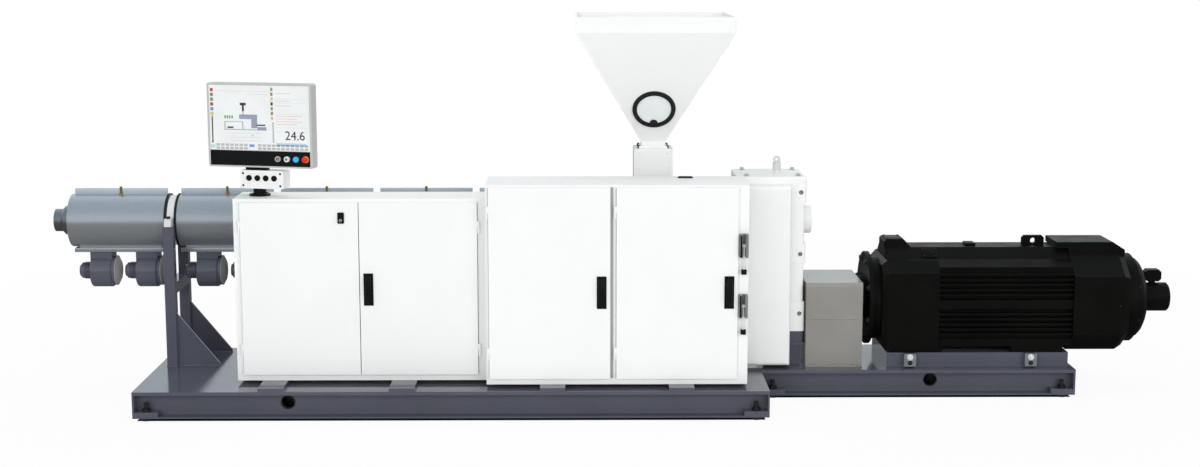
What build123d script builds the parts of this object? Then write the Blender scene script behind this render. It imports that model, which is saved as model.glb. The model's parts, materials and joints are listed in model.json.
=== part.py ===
from build123d import *
import os
from math import cos, radians, sin, sqrt

# Single-screw plastics extruder. While it is built, x runs from the left end of the main base,
# y from the screw axis with the front negative, and z up from the floor, all in millimetres.

# Bases and feet
foot_height = 15.0
rail_height = 140.0
rail_width = 140.0
rail_web = 8.0
rail_flange = 9.0
end_plate = 10.0
deck_thickness = 10.0
main_base_length = 3520.0
main_base_front = 855.0
main_base_rear = 285.0
motor_base_length = 1830.0
motor_base_half_width = 350.0
cross_member_width = 60.0
main_cross_members = 4
motor_cross_members = 2
lifting_hole_diameter = 70.0
main_lifting_hole_x = 850.0
motor_lifting_hole_x = 995.0
bracket_length = 130.0
bracket_thickness = 26.0
jack_inset = 62.0
jack_stud_diameter = 24.0
jack_stud_height = 100.0
jack_nut_width = 42.0
jack_nut_height = 16.0
jack_pad_diameter = 58.0
fit_clearance = 0.3

# Cabinets and doors
pad_width = 140.0
pad_thickness = 20.0
pad_length = 470.0
cabinet_sheet = 3.0
cabinet_lip = 62.0
cabinet_setback = 119.0
control_width = 1400.0
control_depth = 300.0
control_height = 1028.0
control_front = 659.0
control_pad_inset = 212.0
drive_width = 1450.0
drive_depth = 400.0
drive_height = 1116.0
drive_front = 767.0
drive_pad_inset = 368.0
drive_mullion = 150.0
door_thickness = 20.0
door_gap = 2.0
door_sheet = 2.0
control_door_left_margin = 39.0
control_door_right_margin = 50.0
control_door_top_margin = 18.0
control_door_bottom_margin = 37.0
control_door_split = 4.0
drive_door_left_margin = 17.0
drive_door_right_margin = 59.0
drive_door_top_margin = 11.0
drive_door_bottom_margin = 35.0
drive_door_split = 33.0
hinge_offset = 8.0
hinge_radius = 7.0
hinge_pin_radius = 4.0
hinge_pin_play = 0.05
hinge_knuckle = 35.0
hinge_inset = 140.0
mounting_plate = 3.0
mounting_plate_margin = 75.0
mounting_plate_standoff = 25.0
mounting_stud_radius = 10.0
handle_width = 46.0
handle_height = 174.0
handle_depth = 24.0
handle_edge = 48.0
handle_rise = 485.0
key_plate_width = 36.0
key_plate_height = 62.0
key_plate_depth = 8.0
key_plate_inset = 94.0
key_plate_drop = 86.0
key_radius = 11.0
key_height = 6.0

# Disconnect switches beside the right door
switch_width = 46.0
switch_depth = 46.0
switch_height = 129.0
switch_edge = 5.0
switch_rises = (718.0, 381.0)
switch_slot = 20.0
switch_floor = 5.0
lever_width = 8.0
lever_thickness = 12.0
lever_reach = 133.0
lever_hub_radius = 10.0
lever_pin_radius = 4.0
lever_knob_radius = 13.0

# Operator panel
panel_inset = 125.0
panel_setback = 154.0
panel_yaw = 14.0
panel_flange_radius = 59.0
panel_flange_height = 10.0
panel_neck_radius = 36.0
panel_neck_height = 34.0
panel_offset = 35.0
box_width = 260.0
box_height = 102.0
box_front = 50.0
box_back = 45.0
box_button_pitch = 50.0
box_button_radius = 13.0
box_button_height = 9.0
tilt_bar_width = 126.0
tilt_bar_height = 18.0
tilt_bar_depth = 40.0
monitor_width = 620.0
monitor_height = 468.0
monitor_front = 62.0
monitor_back = 12.0
monitor_bezel = 12.0
screen_height = 360.0
screen_recess = 4.0
strip_height = 84.0
strip_recess = 2.0
strip_button_pitch = 54.0
strip_button_edge = 28.0
strip_button_radius = 15.0
strip_button_height = 14.0

# Barrel, screw and heating zones
screw_diameter = 90.0
screw_root_diameter = 66.0
screw_axis_height = 1000.0
screw_tip_length = 60.0
screw_tip_recess = 8.0
screw_flight_width = 12.0
screw_pitch = 90.0
screw_front_turns = 1
screw_throat_turns = 3
screw_flight_sink = 2.0
barrel_diameter = 170.0
nose_diameter = 132.0
nose_length = 42.0
collar_diameter = 168.0
collar_taper = 18.0
die_bolt_circle = 111.0
die_bolt_count = 8
die_bolt_diameter = 10.2
die_bolt_depth = 30.0
barrel_flange_diameter = 250.0
barrel_flange_length = 45.0
zone_count = 5
zone_length = 575.0
zone_gap = 10.0
last_zone_gap = 77.0
collar_gap = 60.0
support_gap = 49.0
cover_diameter = 310.0
cover_sheet = 2.0
cover_margin = 45.0
seam_height = 34.0
seam_thickness = 12.0
seam_slope = 18.0
plenum_height = 26.0
plenum_width = 130.0
probe_radius = 6.0
probe_rise = 46.0
blower_pitch = 268.0
blower_shift = 12.0
blower_width = 126.0
blower_depth = 112.0
drum_radius = 97.0
drum_drop = 119.0
dish_radius = 72.0
dish_height = 22.0
side_ring_radius = 88.0
side_ring_width = 18.0
fan_motor_radius = 47.0
fan_motor_length = 60.0
fan_cap_radius = 42.0
fan_cap_length = 13.0

# Barrel support
post_width = 60.0
post_span = 374.0
post_drop = 10.0
crossbar_height = 66.0
crossbar_rise = 592.0
gusset_length = 245.0
gusset_height = 313.0
gusset_thickness = 12.0
foot_plate = 12.0
clamp_outer_diameter = 296.0
clamp_width = 40.0
clamp_ear_height = 44.0

# Feed housing, chute and hopper
feed_setback = 480.0
feed_front = 383.0
feed_rear = 302.0
feed_diameter = 280.0
feed_flange_diameter = 320.0
feed_flange_length = 40.0
feed_tower = 230.0
feed_tower_rise = 170.0
feed_plate = 270.0
feed_plate_thickness = 20.0
throat_length = 120.0
throat_width = 80.0
chute_width = 226.0
chute_sheet = 4.0
chute_top = 1430.0
chute_cover_width = 190.0
chute_cover_thickness = 5.0
hopper_width = 890.0
hopper_rim_height = 2203.0
hopper_band = 87.0
hopper_outlet = 137.0
hopper_outlet_height = 1472.0
hopper_sheet = 4.0
hopper_lip = 8.0
hopper_lip_height = 24.0
mitre_gap = 0.3
hopper_flange = 165.0
hopper_flange_thickness = 14.0
glass_height = 1668.0
glass_diameter = 208.0
glass_thickness = 6.0
glass_ring_outer = 250.0
glass_ring_thickness = 12.0

# Gearbox and coupling guard
gearbox_setback = 142.0
gearbox_length = 406.0
gearbox_half_width = 205.0
gearbox_bottom = 366.0
gearbox_top = 1277.0
gearbox_band_depth = 9.0
gearbox_corner = 14.0
gearbox_band_edges = (366.0, 540.0, 770.0, 888.0, 1119.0, 1277.0)
gearbox_boss_radius = 81.0
gearbox_boss_length = 50.0
lantern_radius = 150.0
gearbox_foot = 18.0
gearbox_foot_rise = 300.0
gearbox_column_inset = 20.0
gearbox_column_setback = 167.0
breather_radius = 22.0
breather_height = 62.0
side_cover_setback = 42.0
side_cover_length = 268.0
side_cover_front = 320.0
side_cover_lift = 20.0
side_cover_top = 1236.0
side_cover_edge = 20.0
guard_left_gap = 5.0
guard_length = 330.0
guard_half_width = 240.0
guard_top = 657.0
guard_bead_height = 448.0
guard_bead_radius = 7.0
guard_flange = 22.0
guard_flange_thickness = 8.0
guard_corner = 20.0

# Motor on its pedestal
motor_flange_gap = 39.0
motor_flange_radius = 275.0
motor_flange_thickness = 28.0
motor_spigot_radius = 130.0
motor_shield_radius = 245.0
motor_shield_length = 44.0
shaft_height = 280.0
pedestal_setback = 30.0
pedestal_end_gap = 15.0
pedestal_half_width = 265.0
pedestal_height = 85.0
pedestal_wall = 90.0
motor_half_height = 256.0
motor_block_length = 328.0
motor_block_half_width = 288.0
motor_block_low = 262.0
motor_block_shoulder = 190.0
motor_block_top_half = 212.0
motor_block_bevel = 30.0
frame_length = 780.0
frame_half_width = 250.0
frame_low = 245.0
frame_shoulder = 222.0
frame_top_half = 165.0
fin_thickness = 12.0
fin_reach = 286.0
fin_pitch = 30.0
fin_rows = 5
fin_band_height = 53.0
fin_band_rise = 8.0
foot_rail_height = 42.0
foot_rail_drop = 199.0
foot_pad_length = 300.0
foot_pad_width = 110.0
foot_pad_inset = 50.0
ridge_top_half = 90.0
ridge_height = 60.0
terminal_length = 156.0
terminal_slope = 36.0
terminal_height = 42.0
lug_length = 132.0
lug_height = 57.0
lug_thickness = 24.0
lug_inset = 116.0
lug_hole_radius = 16.0
lug_hole_rise = 26.0
cowl_length = 292.0
cowl_half_width = 300.0
cowl_half_height = 290.0
cowl_side_half = 172.0
cowl_top_half = 136.0
cowl_taper_length = 40.0
cowl_taper = 0.92
intake_half_width = 135.0
intake_height = 61.0
intake_overhang = 70.0
intake_slope = 72.0
intake_drop = 46.0
bell_rim_radius = 262.0
bell_rim_length = 65.0
bell_dome_radius = 245.0
bell_tip_radius = 100.0
bell_dome_length = 80.0
bell_steps = 5
encoder_flange_radius = 105.0
encoder_flange_length = 16.0
encoder_radius = 85.0
encoder_length = 140.0
encoder_edge = 8.0
connector_length = 95.0
connector_width = 60.0
connector_height = 70.0
connector_neck_height = 12.0
adjuster_length = 70.0
adjuster_height = 76.0
adjuster_depth = 38.0
adjuster_inset = 98.0
adjuster_rear_inset = 190.0
adjuster_lift = 10.0
adjuster_edge = 6.0

# Heights and stations that follow from the sizes above
rail_top = foot_height + rail_height
deck_top = rail_top + deck_thickness
motor_base_left = main_base_length
motor_base_right = motor_base_left + motor_base_length
cabinet_bottom = deck_top + pad_thickness
drive_right = main_base_length - cabinet_setback
drive_left = drive_right - drive_width
control_left = drive_left - control_width
barrel_radius = barrel_diameter / 2
screw_radius = screw_diameter / 2
cover_radius = cover_diameter / 2
gearbox_left = main_base_length - gearbox_setback
gearbox_right = gearbox_left + gearbox_length
feed_x = gearbox_left - feed_setback
feed_left = feed_x - feed_front
feed_right = feed_x + feed_rear
pedestal_top = deck_top + pedestal_height
motor_axis = pedestal_top + shaft_height
zone_starts = [feed_left - last_zone_gap - zone_length]
for number in range(zone_count - 2):
    zone_starts.insert(0, zone_starts[0] - zone_gap - zone_length)
zone_starts.insert(0, zone_starts[0] - support_gap - zone_length)

pieces = {}


# Shared shapes
def block(x0, x1, y0, y1, z0, z1):
    return Pos((x0 + x1) / 2, (y0 + y1) / 2, (z0 + z1) / 2) * Box(x1 - x0, y1 - y0, z1 - z0)


def rod_x(x0, x1, y, z, radius):
    return Pos((x0 + x1) / 2, y, z) * Rot(0, 90, 0) * Cylinder(radius, x1 - x0)


def rod_y(x, y0, y1, z, radius):
    return Pos(x, (y0 + y1) / 2, z) * Rot(90, 0, 0) * Cylinder(radius, y1 - y0)


def rod_z(x, y, z0, z1, radius):
    return Pos(x, y, (z0 + z1) / 2) * Cylinder(radius, z1 - z0)


def hex_z(x, y, z0, z1, width):
    face = Pos(x, y, z0) * RegularPolygon(width / 2, 6, major_radius=False)
    return extrude(face, z1 - z0)


def slab_y(outline, y0, y1):
    face = make_face(Polyline(*[(x, y0, z) for x, z in outline], close=True))
    return extrude(face, y1 - y0, dir=(0, 1, 0))


def slab_x(outline, x0, x1):
    face = make_face(Polyline(*[(x0, y, z) for y, z in outline], close=True))
    return extrude(face, x1 - x0, dir=(1, 0, 0))


def turned_x(outline, y, z):
    face = make_face(Polyline(*[(x, 0, r) for x, r in outline], close=True))
    return Pos(0, y, z) * revolve(face, Axis.X, 360)


def eight_sided(half_width, half_height, side_half, top_half, z):
    right = [(half_width, -side_half), (half_width, side_half), (top_half, half_height)]
    left = [(-top_half, half_height), (-half_width, side_half), (-half_width, -side_half)]
    low = [(-top_half, -half_height), (top_half, -half_height)]
    return [(y, z + rise) for y, rise in right + left + low]


# Welded bases of rolled beams, end plates and deck plates, on screw jacks
def beam(x0, x1, outer, inward, hole_x):
    # outer is the y of the outside flange edges and inward is the sign towards the middle
    middle = outer + inward * rail_width / 2
    low, high = foot_height, rail_top
    half = rail_width / 2
    web = rail_web / 2
    flange_low, flange_high = low + rail_flange, high - rail_flange
    outline = [(middle - half, low), (middle + half, low), (middle + half, flange_low)]
    outline += [(middle + web, flange_low), (middle + web, flange_high), (middle + half, flange_high)]
    outline += [(middle + half, high), (middle - half, high), (middle - half, flange_high)]
    outline += [(middle - web, flange_high), (middle - web, flange_low), (middle - half, flange_low)]
    body = slab_x(outline, x0, x1)
    web_face = middle - inward * rail_web / 2
    near, far = min(outer, web_face), max(outer, web_face)
    for start in (x0, x1 - bracket_length):
        body += block(start, start + bracket_length, near, far, flange_low, flange_low + bracket_thickness)
    for jack_x in (x0 + jack_inset, x1 - jack_inset):
        jack_y = (outer + web_face) / 2
        body -= rod_z(jack_x, jack_y, low, high - rail_flange, jack_stud_diameter / 2 + fit_clearance)
    body -= rod_y(hole_x, middle - half, middle + half, (low + high) / 2 + 8, lifting_hole_diameter / 2)
    return body


def jack(x, y):
    bracket_top = foot_height + rail_flange + bracket_thickness
    body = rod_z(x, y, 0, foot_height, jack_pad_diameter / 2)
    body += rod_z(x, y, foot_height / 2, jack_stud_height, jack_stud_diameter / 2)
    body += hex_z(x, y, bracket_top, bracket_top + jack_nut_height, jack_nut_width)
    return body


def cross_members(x0, x1, y0, y1, count):
    step = (x1 - x0) / (count + 1)
    bars = []
    for index in range(count):
        middle = x0 + step * (index + 1)
        bars.append(block(middle - cross_member_width / 2, middle + cross_member_width / 2, y0, y1,
                          foot_height + rail_height / 2, rail_top))
    return bars


def base(name, x0, x1, y0, y1, hole_x, count):
    inner0, inner1 = x0 + end_plate, x1 - end_plate
    pieces[name + "_rails"] = [beam(inner0, inner1, y0, 1, hole_x), beam(inner0, inner1, y1, -1, hole_x)]
    ends = [block(x0, inner0, y0, y1, foot_height, rail_top)]
    ends.append(block(inner1, x1, y0, y1, foot_height, rail_top))
    bars = cross_members(inner0, inner1, y0 + rail_width, y1 - rail_width, count)
    pieces[name + "_cross_plates"] = ends + bars
    pieces[name + "_deck"] = [block(x0, x1, y0, y1, rail_top, deck_top)]
    jack_depth = (rail_width - rail_web) / 4
    for jack_x in (inner0 + jack_inset, inner1 - jack_inset):
        for jack_y in (y0 + jack_depth, y1 - jack_depth):
            jacks.append(jack(jack_x, jack_y))


jacks = []
base("main_base", 0, main_base_length, -main_base_front, main_base_rear, main_lifting_hole_x,
     main_cross_members)
base("motor_base", motor_base_left, motor_base_right, -motor_base_half_width, motor_base_half_width,
     motor_base_left + motor_lifting_hole_x, motor_cross_members)
pieces["levelling_jacks"] = jacks


# Sheet-metal cabinets on flat bars, with hung doors
def cabinet(x0, width, front, depth, height, mullion_x):
    x1, back = x0 + width, depth - front
    top = cabinet_bottom + height
    shell = block(x0, x1, -front, back, cabinet_bottom, top)
    shell -= block(x0 + cabinet_sheet, x1 - cabinet_sheet, -front + cabinet_sheet, back - cabinet_sheet,
                   cabinet_bottom + cabinet_sheet, top - cabinet_sheet)
    low, high = cabinet_bottom + cabinet_lip, top - cabinet_lip
    spans = [(x0 + cabinet_lip, x1 - cabinet_lip)]
    if mullion_x is not None:
        half = drive_mullion / 2
        spans = [(x0 + cabinet_lip, mullion_x - half), (mullion_x + half, x1 - cabinet_lip - switch_width)]
    for start, end in spans:
        shell -= block(start, end, -front - 1, -front + cabinet_sheet + 1, low, high)
    return shell


def inner_plate(x0, width, front, depth, height):
    back = depth - front - cabinet_sheet
    plate_back = back - mounting_plate_standoff
    low = cabinet_bottom + mounting_plate_margin
    high = cabinet_bottom + height - mounting_plate_margin
    left, right = x0 + mounting_plate_margin, x0 + width - mounting_plate_margin
    plate = block(left, right, plate_back - mounting_plate, plate_back, low, high)
    inset = 2 * mounting_stud_radius
    for stud_x in (left + inset, right - inset):
        for stud_z in (low + inset, high - inset):
            plate += rod_y(stud_x, plate_back - mounting_plate, back, stud_z, mounting_stud_radius)
    return plate


def door(x0, x1, front, z0, z1, hinge_x):
    # front is the y of the door face; hinge_x is the hinge side's edge, x0 or x1
    outward = -1 if hinge_x == x0 else 1
    panel = block(x0, x1, front, front + door_thickness, z0, z1)
    panel = fillet(panel.edges().filter_by(Axis.Z).group_by(Axis.Y)[0], door_sheet)
    panel -= block(x0 + door_sheet, x1 - door_sheet, front + door_sheet, front + door_thickness + 1,
                   z0 + door_sheet, z1 - door_sheet)
    axis_x, axis_y = hinge_x + outward * hinge_offset, front + hinge_offset
    for middle in (z0 + hinge_inset, z1 - hinge_inset):
        start, end = middle + fit_clearance, middle + hinge_knuckle
        knuckle = rod_z(axis_x, axis_y, start, end, hinge_radius)
        left, right = min(axis_x, hinge_x), max(axis_x, hinge_x)
        knuckle += block(left, right, axis_y - hinge_radius, axis_y, start, end)
        knuckle -= rod_z(axis_x, axis_y, start - 1, end + 1, hinge_pin_radius + hinge_pin_play)
        panel += knuckle
    return panel


def hinge_seats(front, z0, z1, hinge_x, outward):
    axis_x, axis_y = hinge_x + outward * hinge_offset, front + hinge_offset
    wall = front + door_thickness + door_gap
    seats = []
    for middle in (z0 + hinge_inset, z1 - hinge_inset):
        seat = rod_z(axis_x, axis_y, middle - hinge_knuckle, middle, hinge_radius)
        seat += rod_z(axis_x, axis_y, middle - hinge_knuckle, middle + hinge_knuckle, hinge_pin_radius)
        inner = axis_x - outward * hinge_radius / 2
        outer = axis_x + outward * hinge_radius
        seat += block(min(inner, outer), max(inner, outer), axis_y, wall, middle - hinge_knuckle, middle)
        seats.append(seat)
    return seats


def handle(middle_x, front, middle_z):
    half_width, half_height = handle_width / 2, handle_height / 2
    tray = block(middle_x - half_width, middle_x + half_width, front - handle_depth / 3, front,
                 middle_z - half_height, middle_z + half_height)
    tray = fillet(tray.edges().filter_by(Axis.Y), half_width * 0.8)
    grip_half = half_width * 0.62
    grip = block(middle_x - grip_half, middle_x + grip_half, front - handle_depth, front - handle_depth / 4,
                 middle_z - half_height * 0.86, middle_z + half_height * 0.5)
    grip = fillet(grip.edges().filter_by(Axis.Y), grip_half * 0.6)
    grip = fillet(grip.faces().sort_by(Axis.Y)[0].edges(), handle_depth / 5)
    lock = rod_y(middle_x, front - handle_depth / 2, front, middle_z + half_height * 0.72, grip_half * 0.7)
    return tray + grip + lock


door_stand = door_thickness + door_gap
control_face = -control_front - door_stand
control_top = cabinet_bottom + control_height
control_low = cabinet_bottom + control_door_bottom_margin
control_high = control_top - control_door_top_margin
control_door_left = control_left + control_door_left_margin
control_door_right = drive_left - control_door_right_margin
control_door_middle = (control_door_left + control_door_right) / 2
drive_face = -drive_front - door_stand
drive_top = cabinet_bottom + drive_height
drive_low = cabinet_bottom + drive_door_bottom_margin
drive_high = drive_top - drive_door_top_margin
drive_door_left = drive_left + drive_door_left_margin
drive_door_right = drive_right - drive_door_right_margin
drive_door_middle = (drive_door_left + drive_door_right) / 2

pads = []
for pad_x in (control_left + control_pad_inset, drive_left - control_pad_inset - pad_width * 1.8,
              drive_left + drive_pad_inset, drive_right - drive_pad_inset):
    pads.append(block(pad_x - pad_width / 2, pad_x + pad_width / 2, -main_base_front,
                      -main_base_front + pad_length, deck_top, cabinet_bottom))
pieces["cabinet_pads"] = pads

pieces["control_cabinet"] = [cabinet(control_left, control_width, control_front, control_depth,
                                     control_height, None)]
control_split_left = control_door_middle - control_door_split / 2
control_split_right = control_door_middle + control_door_split / 2
pieces["control_left_door"] = [door(control_door_left, control_split_left, control_face,
                                    control_low, control_high, control_door_left)]
pieces["control_right_door"] = [door(control_split_right, control_door_right, control_face,
                                     control_low, control_high, control_door_right)]
seats = hinge_seats(control_face, control_low, control_high, control_door_left, -1)
seats += hinge_seats(control_face, control_low, control_high, control_door_right, 1)

pieces["drive_cabinet"] = [cabinet(drive_left, drive_width, drive_front, drive_depth, drive_height,
                                   drive_door_middle)]
plates = [inner_plate(control_left, control_width, control_front, control_depth, control_height)]
plates.append(inner_plate(drive_left, drive_width, drive_front, drive_depth, drive_height))
pieces["cabinet_mounting_plates"] = plates
drive_split_left = drive_door_middle - drive_door_split / 2
drive_split_right = drive_door_middle + drive_door_split / 2
pieces["drive_left_door"] = [door(drive_door_left, drive_split_left, drive_face, drive_low,
                                  drive_high, drive_door_left)]
pieces["drive_right_door"] = [door(drive_split_right, drive_door_right, drive_face, drive_low,
                                   drive_high, drive_split_right)]
seats += hinge_seats(drive_face, drive_low, drive_high, drive_door_left, -1)
seats += hinge_seats(drive_face, drive_low, drive_high, drive_split_right, -1)
pieces["door_hinge_seats"] = seats

handle_z = control_low + handle_rise
pieces["control_door_handle"] = [handle(control_split_right + handle_edge, control_face, handle_z)]
pieces["drive_left_handle"] = [handle(drive_split_left - handle_edge, drive_face, handle_z)]
pieces["drive_right_handle"] = [handle(drive_door_right - handle_edge, drive_face, handle_z)]

key_x = control_split_left - key_plate_inset
key_z = control_high - key_plate_drop
key_plate = block(key_x - key_plate_width / 2, key_x + key_plate_width / 2, control_face - key_plate_depth,
                  control_face, key_z - key_plate_height / 2, key_z + key_plate_height / 2)
key_plate = fillet(key_plate.edges().filter_by(Axis.Y), key_plate_width / 6)
key_front = control_face - key_plate_depth
key_plate += rod_y(key_x, key_front - key_height, key_front, key_z - key_plate_height / 5, key_radius)
pieces["control_key_switch"] = [key_plate]


# Lever disconnects on the right front edge of the drive cabinet
def switch_housing(middle_x, middle_z):
    half, wall = switch_width / 2, -drive_front
    low, high = middle_z - switch_height / 2, middle_z + switch_height / 2
    body = block(middle_x - half, middle_x + half, wall - switch_depth, wall, low, high)
    body = fillet(body.faces().sort_by(Axis.Y)[0].edges(), switch_floor)
    body -= block(middle_x - switch_slot / 2, middle_x + switch_slot / 2, wall - switch_depth - 1,
                  wall - switch_floor, low - 1, high + 1)
    body += rod_x(middle_x - half + 1, middle_x + half - 1, wall - switch_depth / 2, middle_z,
                  lever_pin_radius)
    return body


def switch_lever(middle_x, middle_z):
    pivot_y = -drive_front - switch_depth / 2
    hub_half = switch_slot / 2 - 1
    body = rod_x(middle_x - hub_half, middle_x + hub_half, pivot_y, middle_z, lever_hub_radius)
    body += block(middle_x - lever_width / 2, middle_x + lever_width / 2, pivot_y - lever_thickness / 2,
                  pivot_y + lever_thickness / 2, middle_z - lever_reach, middle_z)
    body -= rod_x(middle_x - hub_half - 1, middle_x + hub_half + 1, pivot_y, middle_z,
                  lever_pin_radius + hinge_pin_play)
    return body


def switch_knob(middle_x, middle_z):
    pivot_y = -drive_front - switch_depth / 2
    return Pos(middle_x, pivot_y, middle_z - lever_reach - lever_knob_radius + 1) * Sphere(lever_knob_radius)


switch_x = drive_right - switch_edge - switch_width / 2
housings = []
for label, rise in zip(("upper", "lower"), switch_rises):
    switch_z = cabinet_bottom + rise + switch_height / 2
    housings.append(switch_housing(switch_x, switch_z))
    pieces[label + "_switch_lever"] = [switch_lever(switch_x, switch_z) + switch_knob(switch_x, switch_z)]
pieces["switch_housings"] = housings


# Operator panel that swivels on a flange on the control cabinet
panel_x = control_left + panel_inset
panel_y = -control_front + panel_setback
panel_flange_top = control_top + panel_flange_height
panel_neck_top = panel_flange_top + panel_neck_height
swivel = rod_z(panel_x, panel_y, control_top, panel_flange_top, panel_flange_radius)
swivel += rod_z(panel_x, panel_y, panel_flange_top, panel_neck_top, panel_neck_radius)
pieces["panel_swivel"] = [swivel]

turn = Pos(panel_x, panel_y, 0) * Rot(0, 0, -panel_yaw)
box_low = panel_neck_top + fit_clearance
box_high = box_low + box_height
box_left, box_right = panel_offset - box_width / 2, panel_offset + box_width / 2
button_box = block(box_left, box_right, -box_front, box_back, box_low, box_high)
button_box = fillet(button_box.edges().filter_by(Axis.Y), 10)
pieces["panel_button_box"] = [turn * button_box]
button_z = (box_low + box_high) / 2 + 8
buttons = []
for index in range(4):
    button_x = panel_offset + (index - 1.5) * box_button_pitch
    buttons.append(turn * rod_y(button_x, -box_front - box_button_height, -box_front, button_z,
                                box_button_radius))
bar_high = box_high + tilt_bar_height
tilt_bar = block(-tilt_bar_width / 2, tilt_bar_width / 2, -tilt_bar_depth, 0, box_high, bar_high)
pieces["panel_tilt_bar"] = [turn * tilt_bar]

monitor_low, monitor_high = bar_high, bar_high + monitor_height
monitor_left = panel_offset - monitor_width / 2
monitor_right = panel_offset + monitor_width / 2
monitor = block(monitor_left, monitor_right, -monitor_front, monitor_back, monitor_low, monitor_high)
monitor = fillet(monitor.edges().filter_by(Axis.Y), monitor_bezel)
monitor = fillet(monitor.faces().sort_by(Axis.Y)[0].edges(), 3)
screen_high = monitor_high - monitor_bezel
screen_low = screen_high - screen_height
strip_high = screen_low - monitor_bezel / 4
strip_low = strip_high - strip_height
view_left, view_right = monitor_left + monitor_bezel, monitor_right - monitor_bezel
for low, high in ((screen_low, screen_high), (strip_low, strip_high)):
    monitor -= block(view_left, view_right, -monitor_front - 1, -monitor_front + screen_recess, low, high)
pieces["panel_monitor"] = [turn * monitor]
screen = block(view_left, view_right, -monitor_front + screen_recess / 2, -monitor_front + screen_recess,
               screen_low, screen_high)
pieces["panel_screen"] = [turn * screen]
strip = block(view_left, view_right, -monitor_front + strip_recess, -monitor_front + screen_recess,
              strip_low, strip_high)
pieces["panel_key_strip"] = [turn * strip]
strip_face = -monitor_front + strip_recess
for index in range(4):
    button_x = view_right - strip_button_edge - index * strip_button_pitch
    buttons.append(turn * rod_y(button_x, strip_face - strip_button_height, strip_face,
                                (strip_low + strip_high) / 2, strip_button_radius))
pieces["panel_push_buttons"] = buttons


# Barrel with its bore, nose and rear flange, and the screw inside
nose_end = zone_starts[0] - collar_gap - nose_length
nose_shoulder = nose_end + nose_length
bore_radius = screw_radius + fit_clearance
barrel_outline = [(nose_end, bore_radius), (nose_end, nose_diameter / 2), (nose_shoulder, nose_diameter / 2)]
barrel_outline += [(nose_shoulder + collar_taper, collar_diameter / 2)]
barrel_outline += [(zone_starts[0] - collar_gap / 4, collar_diameter / 2)]
barrel_outline += [(zone_starts[0] - collar_gap / 4, barrel_radius)]
flange_start = feed_left - barrel_flange_length
barrel_outline += [(flange_start, barrel_radius), (flange_start, barrel_flange_diameter / 2)]
barrel_outline += [(feed_left, barrel_flange_diameter / 2), (feed_left, bore_radius)]
barrel = turned_x(barrel_outline, 0, screw_axis_height)
for index in range(die_bolt_count):
    angle = radians(360 / die_bolt_count * (index + 0.5))
    bolt_y = die_bolt_circle / 2 * cos(angle)
    bolt_z = screw_axis_height + die_bolt_circle / 2 * sin(angle)
    barrel -= rod_x(nose_end - 1, nose_end + die_bolt_depth, bolt_y, bolt_z, die_bolt_diameter / 2)
pieces["barrel"] = [barrel]



def flight(x0, turns):
    # helical rib whose foot is sunk in the screw's root
    root = screw_root_diameter / 2 - screw_flight_sink
    depth = screw_radius - root
    path = Helix(screw_pitch, turns * screw_pitch, root + depth / 2, center=(x0, 0, screw_axis_height),
                 direction=(1, 0, 0))
    start = path @ 0
    outward = (0, start.Y, start.Z - screw_axis_height)
    profile = Plane(origin=start, x_dir=outward, z_dir=path % 0) * Rectangle(depth, screw_flight_width)
    return sweep(profile, path=path, is_frenet=True)


tip = nose_end + screw_tip_recess
shoulder = tip + screw_tip_length
root_radius = screw_root_diameter / 2
front_end = shoulder + screw_front_turns * screw_pitch + screw_flight_width
throat_span = screw_throat_turns * screw_pitch
throat_start, throat_end = feed_x - throat_span / 2, feed_x + throat_span / 2
screw_outline = [(tip, 0), (shoulder, root_radius), (front_end, root_radius), (front_end, screw_radius)]
screw_outline += [(throat_start, screw_radius), (throat_start, root_radius), (throat_end, root_radius)]
screw_outline += [(throat_end, screw_radius), (feed_right, screw_radius), (feed_right, 0)]
screw = turned_x(screw_outline, 0, screw_axis_height)
screw += flight(shoulder + screw_flight_width, screw_front_turns)
screw += flight(throat_start, screw_throat_turns)
pieces["screw"] = [screw]


# Heating zones: sheet covers with a seam lip above and an air plenum below
def zone_cover(x0):
    x1 = x0 + zone_length
    hole, inner = barrel_radius + fit_clearance, cover_radius - cover_sheet
    outline = [(x0, hole), (x0, cover_radius), (x1, cover_radius), (x1, hole), (x1 - cover_sheet, hole)]
    outline += [(x1 - cover_sheet, inner), (x0 + cover_sheet, inner), (x0 + cover_sheet, hole)]
    body = turned_x(outline, 0, screw_axis_height)
    left, right = x0 + cover_margin, x1 - cover_margin
    crest = screw_axis_height + cover_radius
    root = crest - seam_thickness / 2
    lip = [(left, root), (left + seam_slope, crest + seam_height), (right - seam_slope, crest + seam_height)]
    body += slab_y(lip + [(right, root)], -seam_thickness / 2, seam_thickness / 2)
    half = plenum_width / 2
    meet = screw_axis_height - sqrt(cover_radius ** 2 - half ** 2) + 1
    body += block(left, right, -half, half, screw_axis_height - cover_radius - plenum_height, meet)
    middle = (x0 + x1) / 2
    body -= rod_z(middle, probe_y, crest - probe_rise, crest + seam_height + 1, probe_radius + fit_clearance)
    return body


def probe(middle):
    crest = screw_axis_height + cover_radius
    body = rod_z(middle, probe_y, crest - probe_rise / 2, crest + probe_rise, probe_radius)
    return body


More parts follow.
